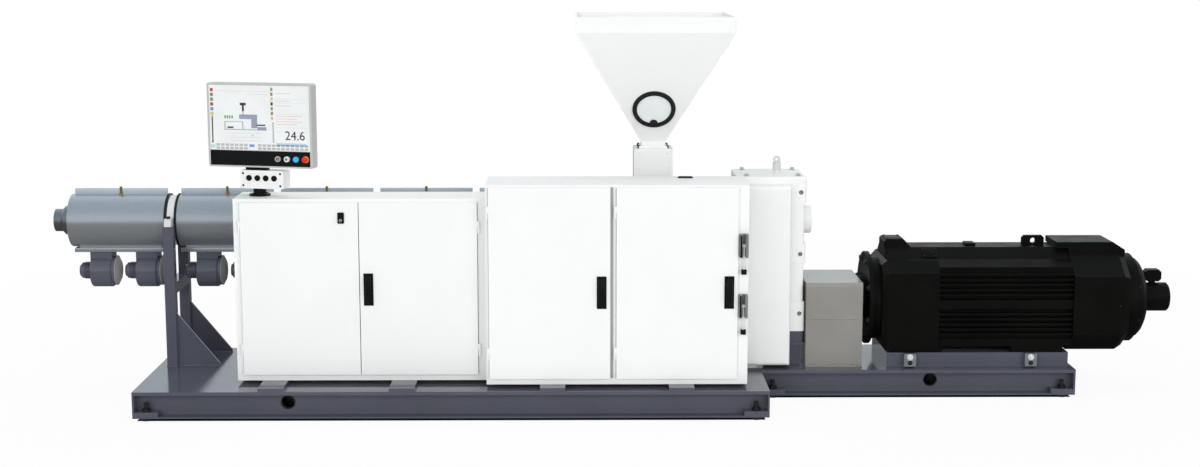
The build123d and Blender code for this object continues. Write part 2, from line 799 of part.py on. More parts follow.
def blower(middle):
    top = screw_axis_height - cover_radius - plenum_height
    axis_z = top - drum_drop
    left, right = middle - blower_width / 2, middle + blower_width / 2
    drum = rod_x(left, right, 0, axis_z, drum_radius)
    drum = fillet(drum.edges().filter_by(GeomType.CIRCLE), drum_radius / 8)
    body = drum + block(left, right, -blower_depth / 2, blower_depth / 2, axis_z, top)
    outline = [(right - 2, 0), (right - 2, side_ring_radius), (right + side_ring_width, side_ring_radius)]
    dish = right + side_ring_width
    outline += [(dish, dish_radius), (dish + dish_height * 0.7, dish_radius * 0.8)]
    outline += [(dish + dish_height, dish_radius * 0.4), (dish + dish_height, 0)]
    body += turned_x(outline, 0, axis_z)
    cap = left - fan_motor_length
    outline = [(left + 2, 0), (left + 2, fan_motor_radius), (cap, fan_motor_radius), (cap, fan_cap_radius)]
    outline += [(cap - fan_cap_length, fan_cap_radius * 0.8), (cap - fan_cap_length, 0)]
    body += turned_x(outline, 0, axis_z)
    return body


probe_y = -seam_thickness / 2 - probe_radius
covers, probes, blowers = [], [], []
for start in zone_starts:
    zone_middle = start + zone_length / 2
    covers.append(zone_cover(start))
    probes.append(probe(zone_middle))
    first = zone_middle + blower_shift - blower_pitch / 2
    blowers.append(blower(first))
    blowers.append(blower(first + blower_pitch))
pieces["zone_covers"] = covers
pieces["zone_blowers"] = blowers
pieces["zone_probes"] = probes


# Welded stand and split clamp that carry the barrel between the first two zones
support_middle = zone_starts[1] - support_gap / 2
post_top = screw_axis_height - post_drop
post_left, post_right = support_middle - post_width / 2, support_middle + post_width / 2
post_inner, post_outer = post_span / 2 - post_width / 2, post_span / 2 + post_width / 2
stand = block(post_left, post_right, -post_inner, post_inner, crossbar_rise, crossbar_rise + crossbar_height)
for side in (-1, 1):
    near, far = min(side * post_inner, side * post_outer), max(side * post_inner, side * post_outer)
    stand += block(post_left, post_right, near, far, deck_top, post_top)
    middle_y = side * post_span / 2
    gusset = [(post_right, deck_top), (post_right + gusset_length, deck_top)]
    gusset += [(post_right + gusset_length, deck_top + foot_plate), (post_right, deck_top + gusset_height)]
    stand += slab_y(gusset, middle_y - gusset_thickness / 2, middle_y + gusset_thickness / 2)
pieces["barrel_stand"] = [stand]

clamp_left, clamp_right = support_middle - clamp_width / 2, support_middle + clamp_width / 2
clamp = rod_x(clamp_left, clamp_right, 0, screw_axis_height, clamp_outer_diameter / 2)
clamp += block(clamp_left, clamp_right, -post_outer, post_outer, post_top, post_top + clamp_ear_height)
clamp -= rod_x(clamp_left - 1, clamp_right + 1, 0, screw_axis_height, barrel_radius + fit_clearance)
pieces["barrel_clamp"] = [clamp]

# Cast feed housing round the rear of the screw, with its throat
feed_outline = [(feed_left, bore_radius), (feed_left, barrel_flange_diameter / 2)]
feed_outline += [(feed_left + feed_flange_length, barrel_flange_diameter / 2)]
feed_outline += [(feed_left + feed_flange_length, feed_diameter / 2)]
feed_outline += [(feed_right - feed_flange_length, feed_diameter / 2)]
feed_outline += [(feed_right - feed_flange_length, feed_flange_diameter / 2)]
feed_outline += [(feed_right, feed_flange_diameter / 2), (feed_right, bore_radius)]
feed_top = screw_axis_height + feed_tower_rise
feed_housing = turned_x(feed_outline, 0, screw_axis_height)
tower = block(feed_x - feed_tower / 2, feed_x + feed_tower / 2, -feed_tower / 2, feed_tower / 2,
              screw_axis_height, feed_top)
tower += block(feed_x - feed_plate / 2, feed_x + feed_plate / 2, -feed_plate / 2, feed_plate / 2,
               feed_top, feed_top + feed_plate_thickness)
tower -= rod_x(feed_left, feed_right, 0, screw_axis_height, bore_radius)
feed_housing += tower
feed_housing -= block(feed_x - throat_length / 2, feed_x + throat_length / 2, -throat_width / 2,
                      throat_width / 2, screw_axis_height, feed_top + feed_plate_thickness + 1)
pieces["feed_housing"] = [feed_housing]

# Square sheet chute with a screwed front plate, between the feed housing and the hopper
chute_bottom = feed_top + feed_plate_thickness
chute_half = chute_width / 2
chute_inner = chute_half - chute_sheet
chute = block(feed_x - chute_half, feed_x + chute_half, -chute_half, chute_half, chute_bottom, chute_top)
chute -= block(feed_x - chute_inner, feed_x + chute_inner, -chute_inner, chute_inner,
               chute_bottom - 1, chute_top - 2 * chute_sheet)
chute_mouth = hopper_outlet / 2 - hopper_sheet
chute -= block(feed_x - chute_mouth, feed_x + chute_mouth, -chute_mouth, chute_mouth,
               chute_top - 3 * chute_sheet, chute_top + 1)
chute += block(feed_x - chute_cover_width / 2, feed_x + chute_cover_width / 2,
               -chute_half - chute_cover_thickness, -chute_half, chute_bottom + 30, chute_top - 10)
pieces["feed_chute"] = [chute]


# Square sheet hopper with a straight band, a sloping funnel and a sight glass
def square(half, z):
    corners = [(feed_x - half, -half, z), (feed_x + half, -half, z), (feed_x + half, half, z),
               (feed_x - half, half, z)]
    return make_face(Polyline(*corners, close=True))


def plates(shell, low, high):
    # four plates mitred along the hopper's corners, from the front one round to the left
    reach = hopper_width
    corners = [(0, -mitre_gap, low), (reach, -mitre_gap - reach, low), (-reach, -mitre_gap - reach, low)]
    wedge = extrude(make_face(Polyline(*corners, close=True)), high - low, dir=(0, 0, 1))
    return [shell & (Pos(feed_x, 0, 0) * Rot(0, 0, 90 * side) * wedge) for side in range(4)]


hopper_half, outlet_half = hopper_width / 2, hopper_outlet / 2
hopper_inner, outlet_inner = hopper_half - hopper_sheet, outlet_half - hopper_sheet
band_low = hopper_rim_height - hopper_band
lip_low = hopper_rim_height - hopper_lip_height
band = extrude(square(hopper_half, band_low), hopper_band)
band += extrude(square(hopper_half + hopper_lip, lip_low), hopper_lip_height)
band -= extrude(square(hopper_inner, band_low - 1), hopper_band + 2)
pieces["hopper_rim_band"] = plates(band, band_low - 1, hopper_rim_height + 1)
funnel = loft([square(outlet_half, hopper_outlet_height), square(hopper_half, band_low)])
funnel -= loft([square(outlet_inner, hopper_outlet_height), square(hopper_inner, band_low)])
funnel_plates = plates(funnel, hopper_outlet_height - 1, band_low + 1)
funnel_rise = band_low - hopper_outlet_height
funnel_run = hopper_half - outlet_half
glass_y = -outlet_half - funnel_run * (glass_height - hopper_outlet_height) / funnel_rise
slope = sqrt(funnel_rise ** 2 + funnel_run ** 2)
glass_plane = Plane(origin=(feed_x, glass_y, glass_height), x_dir=(1, 0, 0),
                    z_dir=(0, -funnel_rise / slope, -funnel_run / slope))
funnel_plates[0] -= glass_plane * Cylinder(glass_diameter / 2, 10 * hopper_sheet)
pieces["hopper_funnel"] = funnel_plates
neck = extrude(square(outlet_half, chute_top), hopper_outlet_height - chute_top)
neck += extrude(square(hopper_flange / 2, chute_top), hopper_flange_thickness)
neck -= extrude(square(outlet_inner, chute_top - 1), hopper_outlet_height - chute_top + 2)
pieces["hopper_neck"] = [neck]
glass_seat = hopper_sheet * funnel_rise / slope
glass = Pos(0, 0, -glass_seat / 2) * Cylinder(glass_diameter / 2 - fit_clearance, glass_thickness)
pieces["sight_glass"] = [glass_plane * glass]
ring_inner, ring_outer = glass_diameter / 2 - 6, glass_ring_outer / 2
ring_seat = glass_thickness / 2 - glass_seat / 2 + fit_clearance
ring_outline = [(ring_outer, 0), (ring_outer - 4, glass_ring_thickness)]
ring_outline += [(ring_inner + 3, glass_ring_thickness), (ring_inner, ring_seat)]
ring_outline += [(glass_diameter / 2, ring_seat), (glass_diameter / 2, 0)]
ring_face = make_face(Polyline(*[(r, 0, z) for r, z in ring_outline], close=True))
pieces["sight_glass_ring"] = [glass_plane.location * revolve(ring_face, Axis.Z, 360)]

# Cast gearbox in bolted bands, its lantern, rear boss and breather
core = block(gearbox_left, gearbox_right - gearbox_band_depth, -gearbox_half_width + gearbox_band_depth,
             gearbox_half_width - gearbox_band_depth, gearbox_bottom, gearbox_top)
core = fillet(core.edges().filter_by(Axis.Z), gearbox_corner)
for low, high in zip(gearbox_band_edges[0::2], gearbox_band_edges[1::2]):
    band = block(gearbox_left, gearbox_right, -gearbox_half_width, gearbox_half_width, low, high)
    band = fillet(band.edges().filter_by(Axis.Z), gearbox_corner)
    if high == gearbox_top:
        band = fillet(band.faces().sort_by(Axis.Z)[-1].edges(), gearbox_corner * 0.8)
        core = core & block(gearbox_left - 1, gearbox_right + 1, -gearbox_half_width - 1,
                                        gearbox_half_width + 1, gearbox_bottom - 1, low + 1)
    core += band
core += rod_x(feed_right, gearbox_left, 0, screw_axis_height, lantern_radius)
boss_end = gearbox_right + gearbox_boss_length
boss = rod_x(gearbox_right - 12, boss_end, 0, screw_axis_height, gearbox_boss_radius)
boss = fillet(boss.edges().group_by(Axis.X)[-1], 6)
core += boss
breather_x = gearbox_right - gearbox_length * 0.38
breather_cap = gearbox_top + breather_height * 0.3
core += rod_z(breather_x, 0, gearbox_top - 1, breather_cap, breather_radius * 0.6)
core += rod_z(breather_x, 0, breather_cap, gearbox_top + breather_height, breather_radius)
pieces["gearbox"] = [core]

column_left = gearbox_left + gearbox_column_setback
column_right = gearbox_right - gearbox_column_inset
column_half = gearbox_half_width - gearbox_column_inset
plinth_half = gearbox_half_width - gearbox_column_inset / 2
foot_low = gearbox_foot_rise - gearbox_foot
column = block(column_left, column_right, -column_half, column_half, deck_top, foot_low)
column += block(column_left, gearbox_right, -gearbox_half_width, gearbox_half_width, foot_low,
                gearbox_foot_rise)
column += block(column_left, gearbox_right - gearbox_column_inset / 2, -plinth_half, plinth_half,
                gearbox_foot_rise, gearbox_bottom)
pieces["gearbox_pedestal"] = [column]

side_cover_left = gearbox_left + side_cover_setback
side_cover = block(side_cover_left, side_cover_left + side_cover_length, -side_cover_front,
                   -gearbox_half_width, deck_top + side_cover_lift, side_cover_top)
side_cover = fillet(side_cover.faces().sort_by(Axis.Y)[0].edges(), side_cover_edge)
pieces["gearbox_side_cover"] = [side_cover]

# Folded guard over the coupling, with a pressed bead and foot lips
guard_left = gearbox_right + guard_left_gap
guard_right = guard_left + guard_length
guard = block(guard_left, guard_right, -guard_half_width, guard_half_width, deck_top, guard_top)
guard = fillet(guard.edges().filter_by(Axis.X).group_by(Axis.Z)[-1], guard_corner)
guard += block(guard_left, guard_right, -guard_half_width - guard_flange, guard_half_width + guard_flange,
               deck_top, deck_top + guard_flange_thickness)
for side in (-1, 1):
    bead_y = side * (guard_half_width - guard_bead_radius / 2)
    guard += rod_x(guard_left + 4 * guard_bead_radius, guard_right - 4 * guard_bead_radius, bead_y,
                   guard_bead_height, guard_bead_radius)
pieces["coupling_guard"] = [guard]

# Stations of the motor, from the guard to the right
flange_left = guard_right + motor_flange_gap
flange_back = flange_left + motor_flange_thickness
block_left = flange_back + motor_shield_length
block_right = block_left + motor_block_length
frame_right = block_right + frame_length
cowl_right = frame_right + cowl_length
taper_right = cowl_right + cowl_taper_length
motor_top = motor_axis + motor_half_height

# Motor pedestal, a welded rectangular frame, with jacking blocks on its sides
pedestal_left = block_left + pedestal_setback
pedestal_right = frame_right - pedestal_end_gap
pedestal = block(pedestal_left, pedestal_right, -pedestal_half_width, pedestal_half_width, deck_top,
                 pedestal_top)
pedestal -= block(pedestal_left + pedestal_wall, pedestal_right - pedestal_wall,
                  -pedestal_half_width + pedestal_wall, pedestal_half_width - pedestal_wall,
                  deck_top - 1, pedestal_top + 1)
pieces["motor_pedestal"] = [pedestal]
adjuster_low = deck_top + adjuster_lift
adjusters = []
for middle in (pedestal_left + adjuster_inset + adjuster_length / 2,
               pedestal_right - adjuster_rear_inset - adjuster_length / 2):
    for side in (-1, 1):
        inner_y, outer_y = side * pedestal_half_width, side * (pedestal_half_width + adjuster_depth)
        adjuster = block(middle - adjuster_length / 2, middle + adjuster_length / 2, min(inner_y, outer_y),
                         max(inner_y, outer_y), adjuster_low, adjuster_low + adjuster_height)
        adjusters.append(fillet(adjuster.edges().filter_by(Axis.Y), adjuster_edge))
pieces["motor_adjusters"] = adjusters


# Motor: flange, air hood round the drive end, finned frame on its feet, cable ridge and lifting lug
def hood_outline(half_width, low, shoulder, top_half):
    # y and z of a closed outline with sloping shoulders, symmetric about the motor axis
    right = [(half_width, -low), (half_width, shoulder), (top_half, motor_half_height)]
    left = [(-y, rise) for y, rise in reversed(right)]
    return [(y, motor_axis + rise) for y, rise in right + left]


motor = rod_x(flange_left, flange_back, 0, motor_axis, motor_flange_radius)
motor = fillet(motor.edges().filter_by(GeomType.CIRCLE), motor_flange_thickness / 7)
motor += rod_x(guard_right, flange_left, 0, motor_axis, motor_spigot_radius)
motor += rod_x(flange_back, block_left, 0, motor_axis, motor_shield_radius)
hood = hood_outline(motor_block_half_width, motor_block_low, motor_block_shoulder, motor_block_top_half)
hood = slab_x(hood, block_left, block_right)
motor += chamfer(hood.faces().sort_by(Axis.X)[0].edges(), motor_block_bevel)
core = hood_outline(frame_half_width, frame_low, frame_shoulder, frame_top_half)
motor += slab_x(core, block_right, frame_right)
band_middle = motor_axis + fin_band_rise
motor += block(block_right, frame_right, -fin_reach, fin_reach, band_middle - fin_band_height / 2,
               band_middle + fin_band_height / 2)
for row in range(fin_rows):
    for side in (-1, 1):
        fin_z = band_middle + side * (fin_band_height / 2 + fin_pitch * (row + 1))
        motor += block(block_right, frame_right, -fin_reach, fin_reach, fin_z - fin_thickness / 2,
                       fin_z + fin_thickness / 2)
rail_high = motor_axis - foot_rail_drop
motor += block(block_right, frame_right, -pedestal_half_width, pedestal_half_width,
               rail_high - foot_rail_height, rail_high)
for start in (block_left + foot_pad_inset, frame_right - foot_pad_inset - foot_pad_length):
    for side in (-1, 1):
        inner_y = side * (pedestal_half_width - foot_pad_width)
        outer_y = side * pedestal_half_width
        motor += block(start, start + foot_pad_length, min(inner_y, outer_y), max(inner_y, outer_y),
                       pedestal_top, rail_high)
ridge_top = motor_top + ridge_height
ridge = [(-frame_top_half, motor_top), (-ridge_top_half, ridge_top)]
ridge += [(ridge_top_half, ridge_top), (frame_top_half, motor_top)]
motor += slab_x(ridge, block_left + motor_block_bevel, frame_right)
lug_left = frame_right - lug_inset - lug_length
lug_middle = lug_left + lug_length / 2
lug_high = ridge_top + lug_height
lug_right, lug_cut = lug_left + lug_length, lug_height / 4
lug = [(lug_left, ridge_top), (lug_left, lug_high - lug_cut), (lug_left + lug_cut, lug_high)]
lug += [(lug_right - lug_cut, lug_high), (lug_right, lug_high - lug_cut), (lug_right, ridge_top)]
lifting_lug = slab_y(lug, -lug_thickness / 2, lug_thickness / 2)
lifting_lug -= rod_y(lug_middle, -lug_thickness, lug_thickness, ridge_top + lug_hole_rise, lug_hole_radius)
motor += lifting_lug
pieces["motor_frame"] = [motor]

terminal_left = block_left + motor_block_bevel
terminal_top = ridge_top + terminal_height
terminal = [(terminal_left, ridge_top), (terminal_left, terminal_top - terminal_height / 5)]
terminal += [(terminal_left + terminal_height / 5, terminal_top)]
terminal += [(terminal_left + terminal_length - terminal_slope, terminal_top)]
terminal += [(terminal_left + terminal_length, ridge_top)]
pieces["motor_terminal_box"] = [slab_y(terminal, -ridge_top_half, ridge_top_half)]


# Fan cowl with its air intake, end bell and encoder
def cowl_face(x, share):
    outline = eight_sided(cowl_half_width, cowl_half_height, cowl_side_half, cowl_top_half, 0)
    return make_face(Polyline(*[(x, y * share, motor_axis + z * share) for y, z in outline], close=True))


cowl = extrude(cowl_face(frame_right, 1), cowl_length, dir=(1, 0, 0))
cowl += loft([cowl_face(cowl_right, 1), cowl_face(taper_right, cowl_taper)])
intake_low = motor_axis + cowl_half_height
intake_top = intake_low + intake_height
intake_left = frame_right - intake_overhang
intake_base = motor_axis + cowl_half_height * cowl_taper
intake = [(frame_right, intake_base), (frame_right, ridge_top), (intake_left, ridge_top)]
intake += [(intake_left, intake_top), (taper_right - intake_slope, intake_top)]
intake += [(taper_right, intake_top - intake_drop)]
intake += [(taper_right, intake_base)]
cowl += slab_y(intake, -intake_half_width, intake_half_width)
pieces["motor_fan_cowl"] = [cowl]
rim_right = taper_right + bell_rim_length
bell_right = rim_right + bell_dome_length
bell_outline = [(taper_right, 0), (taper_right, bell_rim_radius), (rim_right, bell_rim_radius)]
for index in range(bell_steps + 1):
    share = index / bell_steps
    radius = bell_tip_radius + (bell_dome_radius - bell_tip_radius) * sqrt(1 - share ** 2)
    bell_outline.append((rim_right + bell_dome_length * share, radius))
bell_outline.append((bell_right, 0))
pieces["motor_end_bell"] = [turned_x(bell_outline, 0, motor_axis)]
encoder_start = bell_right + encoder_flange_length
encoder_end = encoder_start + encoder_length
encoder_outline = [(bell_right, 0), (bell_right, encoder_flange_radius)]
encoder_outline += [(encoder_start, encoder_flange_radius), (encoder_start, encoder_radius)]
encoder_outline += [(encoder_end - encoder_edge, encoder_radius)]
encoder_outline += [(encoder_end, encoder_radius - encoder_edge), (encoder_end, 0)]
encoder = turned_x(encoder_outline, 0, motor_axis)
neck_base = motor_axis + encoder_radius / 2
neck_top = motor_axis + encoder_radius + connector_neck_height
connector_middle = encoder_start + connector_length / 2
encoder += rod_z(connector_middle, 0, neck_base, neck_top + 1, connector_width / 3)
connector = block(connector_middle - connector_length / 2, connector_middle + connector_length / 2,
                  -connector_width / 2, connector_width / 2, neck_top, neck_top + connector_height)
encoder += chamfer(connector.edges().filter_by(Axis.Y), connector_height / 5)
pieces["motor_encoder"] = [encoder]

# Centre the finished machine over the middle of its footprint and write one file for each piece
boxes = [solid.bounding_box() for solids in pieces.values() for solid in solids]
low_x, high_x = min(box.min.X for box in boxes), max(box.max.X for box in boxes)
low_y, high_y = min(box.min.Y for box in boxes), max(box.max.Y for box in boxes)
low_z, high_z = min(box.min.Z for box in boxes), max(box.max.Z for box in boxes)
centring = Pos(-(low_x + high_x) / 2, -(low_y + high_y) / 2, -low_z)
os.makedirs("parts", exist_ok=True)
for name, solids in pieces.items():
    moved = [centring * solid for solid in solids]
    shape = moved[0] if len(moved) == 1 else Compound(children=moved)
    export_step(shape, "parts/%s.step" % name)
print("pieces", len(pieces))
print("length %.1f width %.1f height %.1f" % (high_x - low_x, high_y - low_y, high_z - low_z))
print("shift %.3f %.3f %.3f" % (-(low_x + high_x) / 2, -(low_y + high_y) / 2, -low_z))
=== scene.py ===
import json
from math import cos, pi, radians, sin
import bpy
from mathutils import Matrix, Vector

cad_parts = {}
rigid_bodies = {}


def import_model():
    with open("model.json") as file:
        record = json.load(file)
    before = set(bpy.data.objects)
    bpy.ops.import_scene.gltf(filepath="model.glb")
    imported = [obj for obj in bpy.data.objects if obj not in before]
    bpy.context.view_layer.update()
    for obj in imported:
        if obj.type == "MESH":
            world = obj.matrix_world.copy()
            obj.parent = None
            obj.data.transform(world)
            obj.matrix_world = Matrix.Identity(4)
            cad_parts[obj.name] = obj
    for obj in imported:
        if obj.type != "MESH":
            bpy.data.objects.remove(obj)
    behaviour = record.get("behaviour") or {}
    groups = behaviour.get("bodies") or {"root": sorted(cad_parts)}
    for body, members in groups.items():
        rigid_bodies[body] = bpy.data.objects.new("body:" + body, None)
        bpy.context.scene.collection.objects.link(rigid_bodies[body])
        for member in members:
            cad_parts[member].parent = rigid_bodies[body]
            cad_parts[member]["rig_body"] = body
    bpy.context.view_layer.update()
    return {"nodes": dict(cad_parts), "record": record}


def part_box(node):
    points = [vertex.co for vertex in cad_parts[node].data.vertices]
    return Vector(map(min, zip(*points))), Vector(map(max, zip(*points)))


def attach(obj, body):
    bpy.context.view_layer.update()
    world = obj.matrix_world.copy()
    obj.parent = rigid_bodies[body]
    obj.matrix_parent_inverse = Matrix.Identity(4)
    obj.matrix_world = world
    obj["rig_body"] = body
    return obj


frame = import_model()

nodes = frame["nodes"]
mounts = {mount["name"]: mount for mount in frame["record"]["mounts"]}


# The two welded bases: rolled beams with end plates and deck plates on top, all in one coat of
# gloss slate enamel sprayed after welding. The paint has a faint orange peel and lies a little
# thinner, and so duller, in places.
def deselect():
    if bpy.context.object and bpy.context.object.mode != "OBJECT":
        bpy.ops.object.mode_set(mode="OBJECT")
    bpy.ops.object.select_all(action="DESELECT")


def new_material(name):
    material = bpy.data.materials.new(name)
    material.use_nodes = True
    tree = material.node_tree
    shader = tree.nodes["Principled BSDF"]
    place = tree.nodes.new("ShaderNodeTexCoord")
    return material, tree, shader, place


def noise(tree, place, scale, detail=3.0, stretch=None):
    source = place.outputs["Object"]
    if stretch:
        mapping = tree.nodes.new("ShaderNodeMapping")
        mapping.inputs["Scale"].default_value = stretch
        tree.links.new(source, mapping.inputs["Vector"])
        source = mapping.outputs["Vector"]
    texture = tree.nodes.new("ShaderNodeTexNoise")
    texture.inputs["Scale"].default_value = scale
    texture.inputs["Detail"].default_value = detail
    tree.links.new(source, texture.inputs["Vector"])
    return texture.outputs["Fac"]


def blend_colours(tree, factor, dark, light, low, high):
    ramp = tree.nodes.new("ShaderNodeValToRGB")
    ramp.color_ramp.elements[0].position = low
    ramp.color_ramp.elements[1].position = high
    ramp.color_ramp.elements[0].color = (*dark, 1)
    ramp.color_ramp.elements[1].color = (*light, 1)
    tree.links.new(factor, ramp.inputs["Fac"])
    return ramp.outputs["Color"]


def spread(tree, factor, low, high, start=0.3, end=0.7):
    ranged = tree.nodes.new("ShaderNodeMapRange")
    ranged.inputs["From Min"].default_value = start
    ranged.inputs["From Max"].default_value = end
    ranged.inputs["To Min"].default_value = low
    ranged.inputs["To Max"].default_value = high
    tree.links.new(factor, ranged.inputs["Value"])
    return ranged.outputs["Result"]


def tint(tree, shader, factor, dark, light, low=0.35, high=0.65):
    tree.links.new(blend_colours(tree, factor, dark, light, low, high), shader.inputs["Base Color"])


def roughen(tree, shader, factor, low, high):
    tree.links.new(spread(tree, factor, low, high), shader.inputs["Roughness"])


def relief(tree, shader, factor, strength, distance):
    bump = tree.nodes.new("ShaderNodeBump")
    bump.inputs["Strength"].default_value = strength
    bump.inputs["Distance"].default_value = distance
    tree.links.new(factor, bump.inputs["Height"])
    tree.links.new(bump.outputs["Normal"], shader.inputs["Normal"])


def paint(name, colour, roughness, shift=0.06, peel=0.12, grain=260.0, gloss=0.5):
    material, tree, shader, place = new_material(name)
    dark = [channel * (1 - shift) for channel in colour]
    light = [min(1.0, channel * (1 + shift)) for channel in colour]
    tint(tree, shader, noise(tree, place, 2.6, 4.0), dark, light)
    roughen(tree, shader, noise(tree, place, 9.0, 2.0), roughness * 0.88, roughness * 1.14)
    shader.inputs["Specular IOR Level"].default_value = gloss
    relief(tree, shader, noise(tree, place, grain, 2.0), peel, 0.0006)
    return material


def coat(material, *names):
    for name in names:
        nodes[name].data.materials.clear()
        nodes[name].data.materials.append(material)


slate = paint("slate_enamel", (0.092, 0.095, 0.122), 0.13, 0.05, 0.05, 260.0, 0.55)
coat(slate, "main_base_rails", "main_base_cross_plates", "main_base_deck", "motor_base_rails",
     "motor_base_cross_plates", "motor_base_deck")


# Screw jacks under the corners: turned studs with nuts and round pads, blackened in an oxide bath.
# The thread runs the length of the stud.
def threaded_oxide():
    material, tree, shader, place = new_material("black_oxide")
    tint(tree, shader, noise(tree, place, 40.0, 4.0), (0.010, 0.010, 0.011), (0.022, 0.022, 0.023))
    roughen(tree, shader, noise(tree, place, 90.0), 0.36, 0.5)
    shader.inputs["Specular IOR Level"].default_value = 0.3
    thread = tree.nodes.new("ShaderNodeTexWave")
    thread.bands_direction = "Z"
    thread.inputs["Scale"].default_value = 105.0
    tree.links.new(place.outputs["Object"], thread.inputs["Vector"])
    relief(tree, shader, thread.outputs["Fac"], 0.5, 0.0012)
    return material


black_oxide = threaded_oxide()
coat(black_oxide, "levelling_jacks")


# Sleeves in the lifting holes: short lengths of tube pushed through the beam webs, one at each end of the
# lifting bar's way, black inside and out as painted shade, so that the holes read dark.
def pick_faces(piece, wanted):
    bpy.ops.object.mode_set(mode="OBJECT")
    for polygon in piece.data.polygons:
        polygon.select = bool(wanted(polygon.center, polygon.normal))
    bpy.ops.object.mode_set(mode="EDIT")
    bpy.ops.mesh.select_mode(type="FACE")


def fix_place():
    bpy.ops.object.transform_apply(location=True, rotation=True, scale=True)


def facing(direction):
    return Vector(direction).to_track_quat("Z", "Y").to_euler()


def pierce(piece, wanted, border):
    pick_faces(piece, wanted)
    bpy.ops.mesh.inset(thickness=border, use_individual=True)
    bpy.ops.mesh.bridge_edge_loops()
    bpy.ops.object.mode_set(mode="OBJECT")


def ring(inner, outer, thickness, sides=32):
    deselect()
    bpy.ops.mesh.primitive_cylinder_add(vertices=sides, radius=outer, depth=thickness,
                                        location=(0, 0, thickness / 2))
    hoop = bpy.context.object
    fix_place()
    pierce(hoop, lambda centre, normal: abs(normal.z) > 0.9, outer - inner)
    return hoop


def join_up(pieces):
    deselect()
    for piece in pieces:
        piece.select_set(True)
    bpy.context.view_layer.objects.active = pieces[0]
    if len(pieces) > 1:
        bpy.ops.object.join()
    return pieces[0]


def finish_piece(piece, name, material, carrier):
    join_up([piece])
    fix_place()
    bpy.ops.object.shade_smooth_by_angle(angle=radians(35))
    piece.name = name
    piece.data.name = name
    piece.data.materials.clear()
    piece.data.materials.append(material)
    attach(piece, nodes[carrier]["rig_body"])


def lay_out(first, spots):
    copies = [first]
    for _ in spots[1:]:
        join_up([first])
        bpy.ops.object.duplicate()
        copies.append(bpy.context.object)
    for copy, (place, direction) in zip(copies, spots):
        copy.location = place
        copy.rotation_euler = facing(direction)
    group = join_up(copies)
    fix_place()
    return group


def set_out(first, spots, name, material, carrier):
    finish_piece(lay_out(first, spots), name, material, carrier)


def fasten(first, spots, name, carrier):
    set_out(first, spots, name, black_oxide, carrier)


front, back, left, right, up = (0, -1, 0), (0, 1, 0), (-1, 0, 0), (1, 0, 0), (0, 0, 1)
web_half, sleeve, sleeve_wall, sleeve_rim, bore_gap = 0.004, 0.045, 0.005, 0.003, 0.0003
spots = []
for base in ("main", "motor"):
    bar = mounts[base + "_lifting_bar"]
    x, y, z = bar["pos_m"]
    outer_face = y - web_half
    spots.append(((x, outer_face + sleeve, z), front))
    spots.append(((x, outer_face + bar["dims"]["length_mm"] / 1000 - sleeve, z), back))
hole_radius = mounts["main_lifting_bar"]["dims"]["r_mm"] / 1000
# Black sleeves: painted shade that makes the lifting holes read dark.
tube = ring(hole_radius + bore_gap, hole_radius + sleeve_wall, sleeve + sleeve_rim)
fasten(tube, spots, "lifting_hole_shade_sleeves", "main_base_rails")

# Flat bars under the cabinets: sawn steel laid across the deck, welded down and painted with it. They
# lift the cabinets clear of oil on the deck.
coat(slate, "cabinet_pads")

# Cabinets: folded and welded sheet in satin white powder coat, open in front behind the doors and
# bolted down on the flat bars.
white = paint("white_powder", (0.90, 0.90, 0.885), 0.42, 0.010, 0.08, 520.0, 0.30)
coat(white, "control_cabinet", "drive_cabinet")


# Inner plates for the switchgear: galvanised sheet with a fine spangle, bolted to studs on the back
# wall of each cabinet.
def galvanised_sheet():
    material, tree, shader, place = new_material("galvanised_sheet")
    spangle = tree.nodes.new("ShaderNodeTexVoronoi")
    spangle.inputs["Scale"].default_value = 70.0
    tree.links.new(place.outputs["Object"], spangle.inputs["Vector"])
    tint(tree, shader, spangle.outputs["Distance"], (0.50, 0.52, 0.54), (0.66, 0.68, 0.70), 0.1, 0.7)
    shader.inputs["Metallic"].default_value = 0.9
    roughen(tree, shader, spangle.outputs["Distance"], 0.34, 0.5)
    return material


coat(galvanised_sheet(), "cabinet_mounting_plates")


# Cable grommet in the roof of the drive cabinet: a moulded black frame round a brush slot, snapped
# into a cut-out near the back edge.
def rounded_block(low, high, edge, segments=2):
    low, high = Vector(low), Vector(high)
    deselect()
    bpy.ops.mesh.primitive_cube_add(size=1, location=(low + high) / 2, scale=high - low)
    block = bpy.context.object
    fix_place()
    bpy.ops.object.mode_set(mode="EDIT")
    bpy.ops.mesh.select_all(action="SELECT")
    bpy.ops.mesh.bevel(offset=edge, segments=segments, affect="EDGES")
    bpy.ops.object.mode_set(mode="OBJECT")
    return block


def press_in(piece, wanted, border, depth):
    pick_faces(piece, wanted)
    bpy.ops.mesh.inset(thickness=border)
    bpy.ops.mesh.extrude_region_move(TRANSFORM_OT_translate={"value": depth})
    bpy.ops.object.mode_set(mode="OBJECT")


def mould(piece, name, carrier):
    finish_piece(piece, name, black_plastic, carrier)


black_plastic = paint("black_moulded", (0.0065, 0.0065, 0.007), 0.45, 0.15, 0.25, 900.0, 0.14)
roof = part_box("drive_cabinet")[1]
grommet_left, grommet_right = roof.x - 0.377, roof.x - 0.292
grommet_front, grommet_back = roof.y - 0.092, roof.y - 0.054
grommet_rise, grommet_rim, slot_depth = 0.006, 0.008, 0.004
grommet = rounded_block((grommet_left, grommet_front, roof.z),
                        (grommet_right, grommet_back, roof.z + grommet_rise), 0.002)
press_in(grommet, lambda centre, normal: normal.z > 0.9 and centre.z > roof.z + grommet_rise * 0.9,
         grommet_rim, (0, 0, -slot_depth))
mould(grommet, "roof_cable_grommet", "drive_cabinet")

# Doors: shallow folded trays of the same white sheet, hung on pin hinges whose lower knuckles are
# welded to the cabinet fronts.
coat(white, "control_left_door", "control_right_door", "drive_left_door", "drive_right_door",
     "door_hinge_seats")

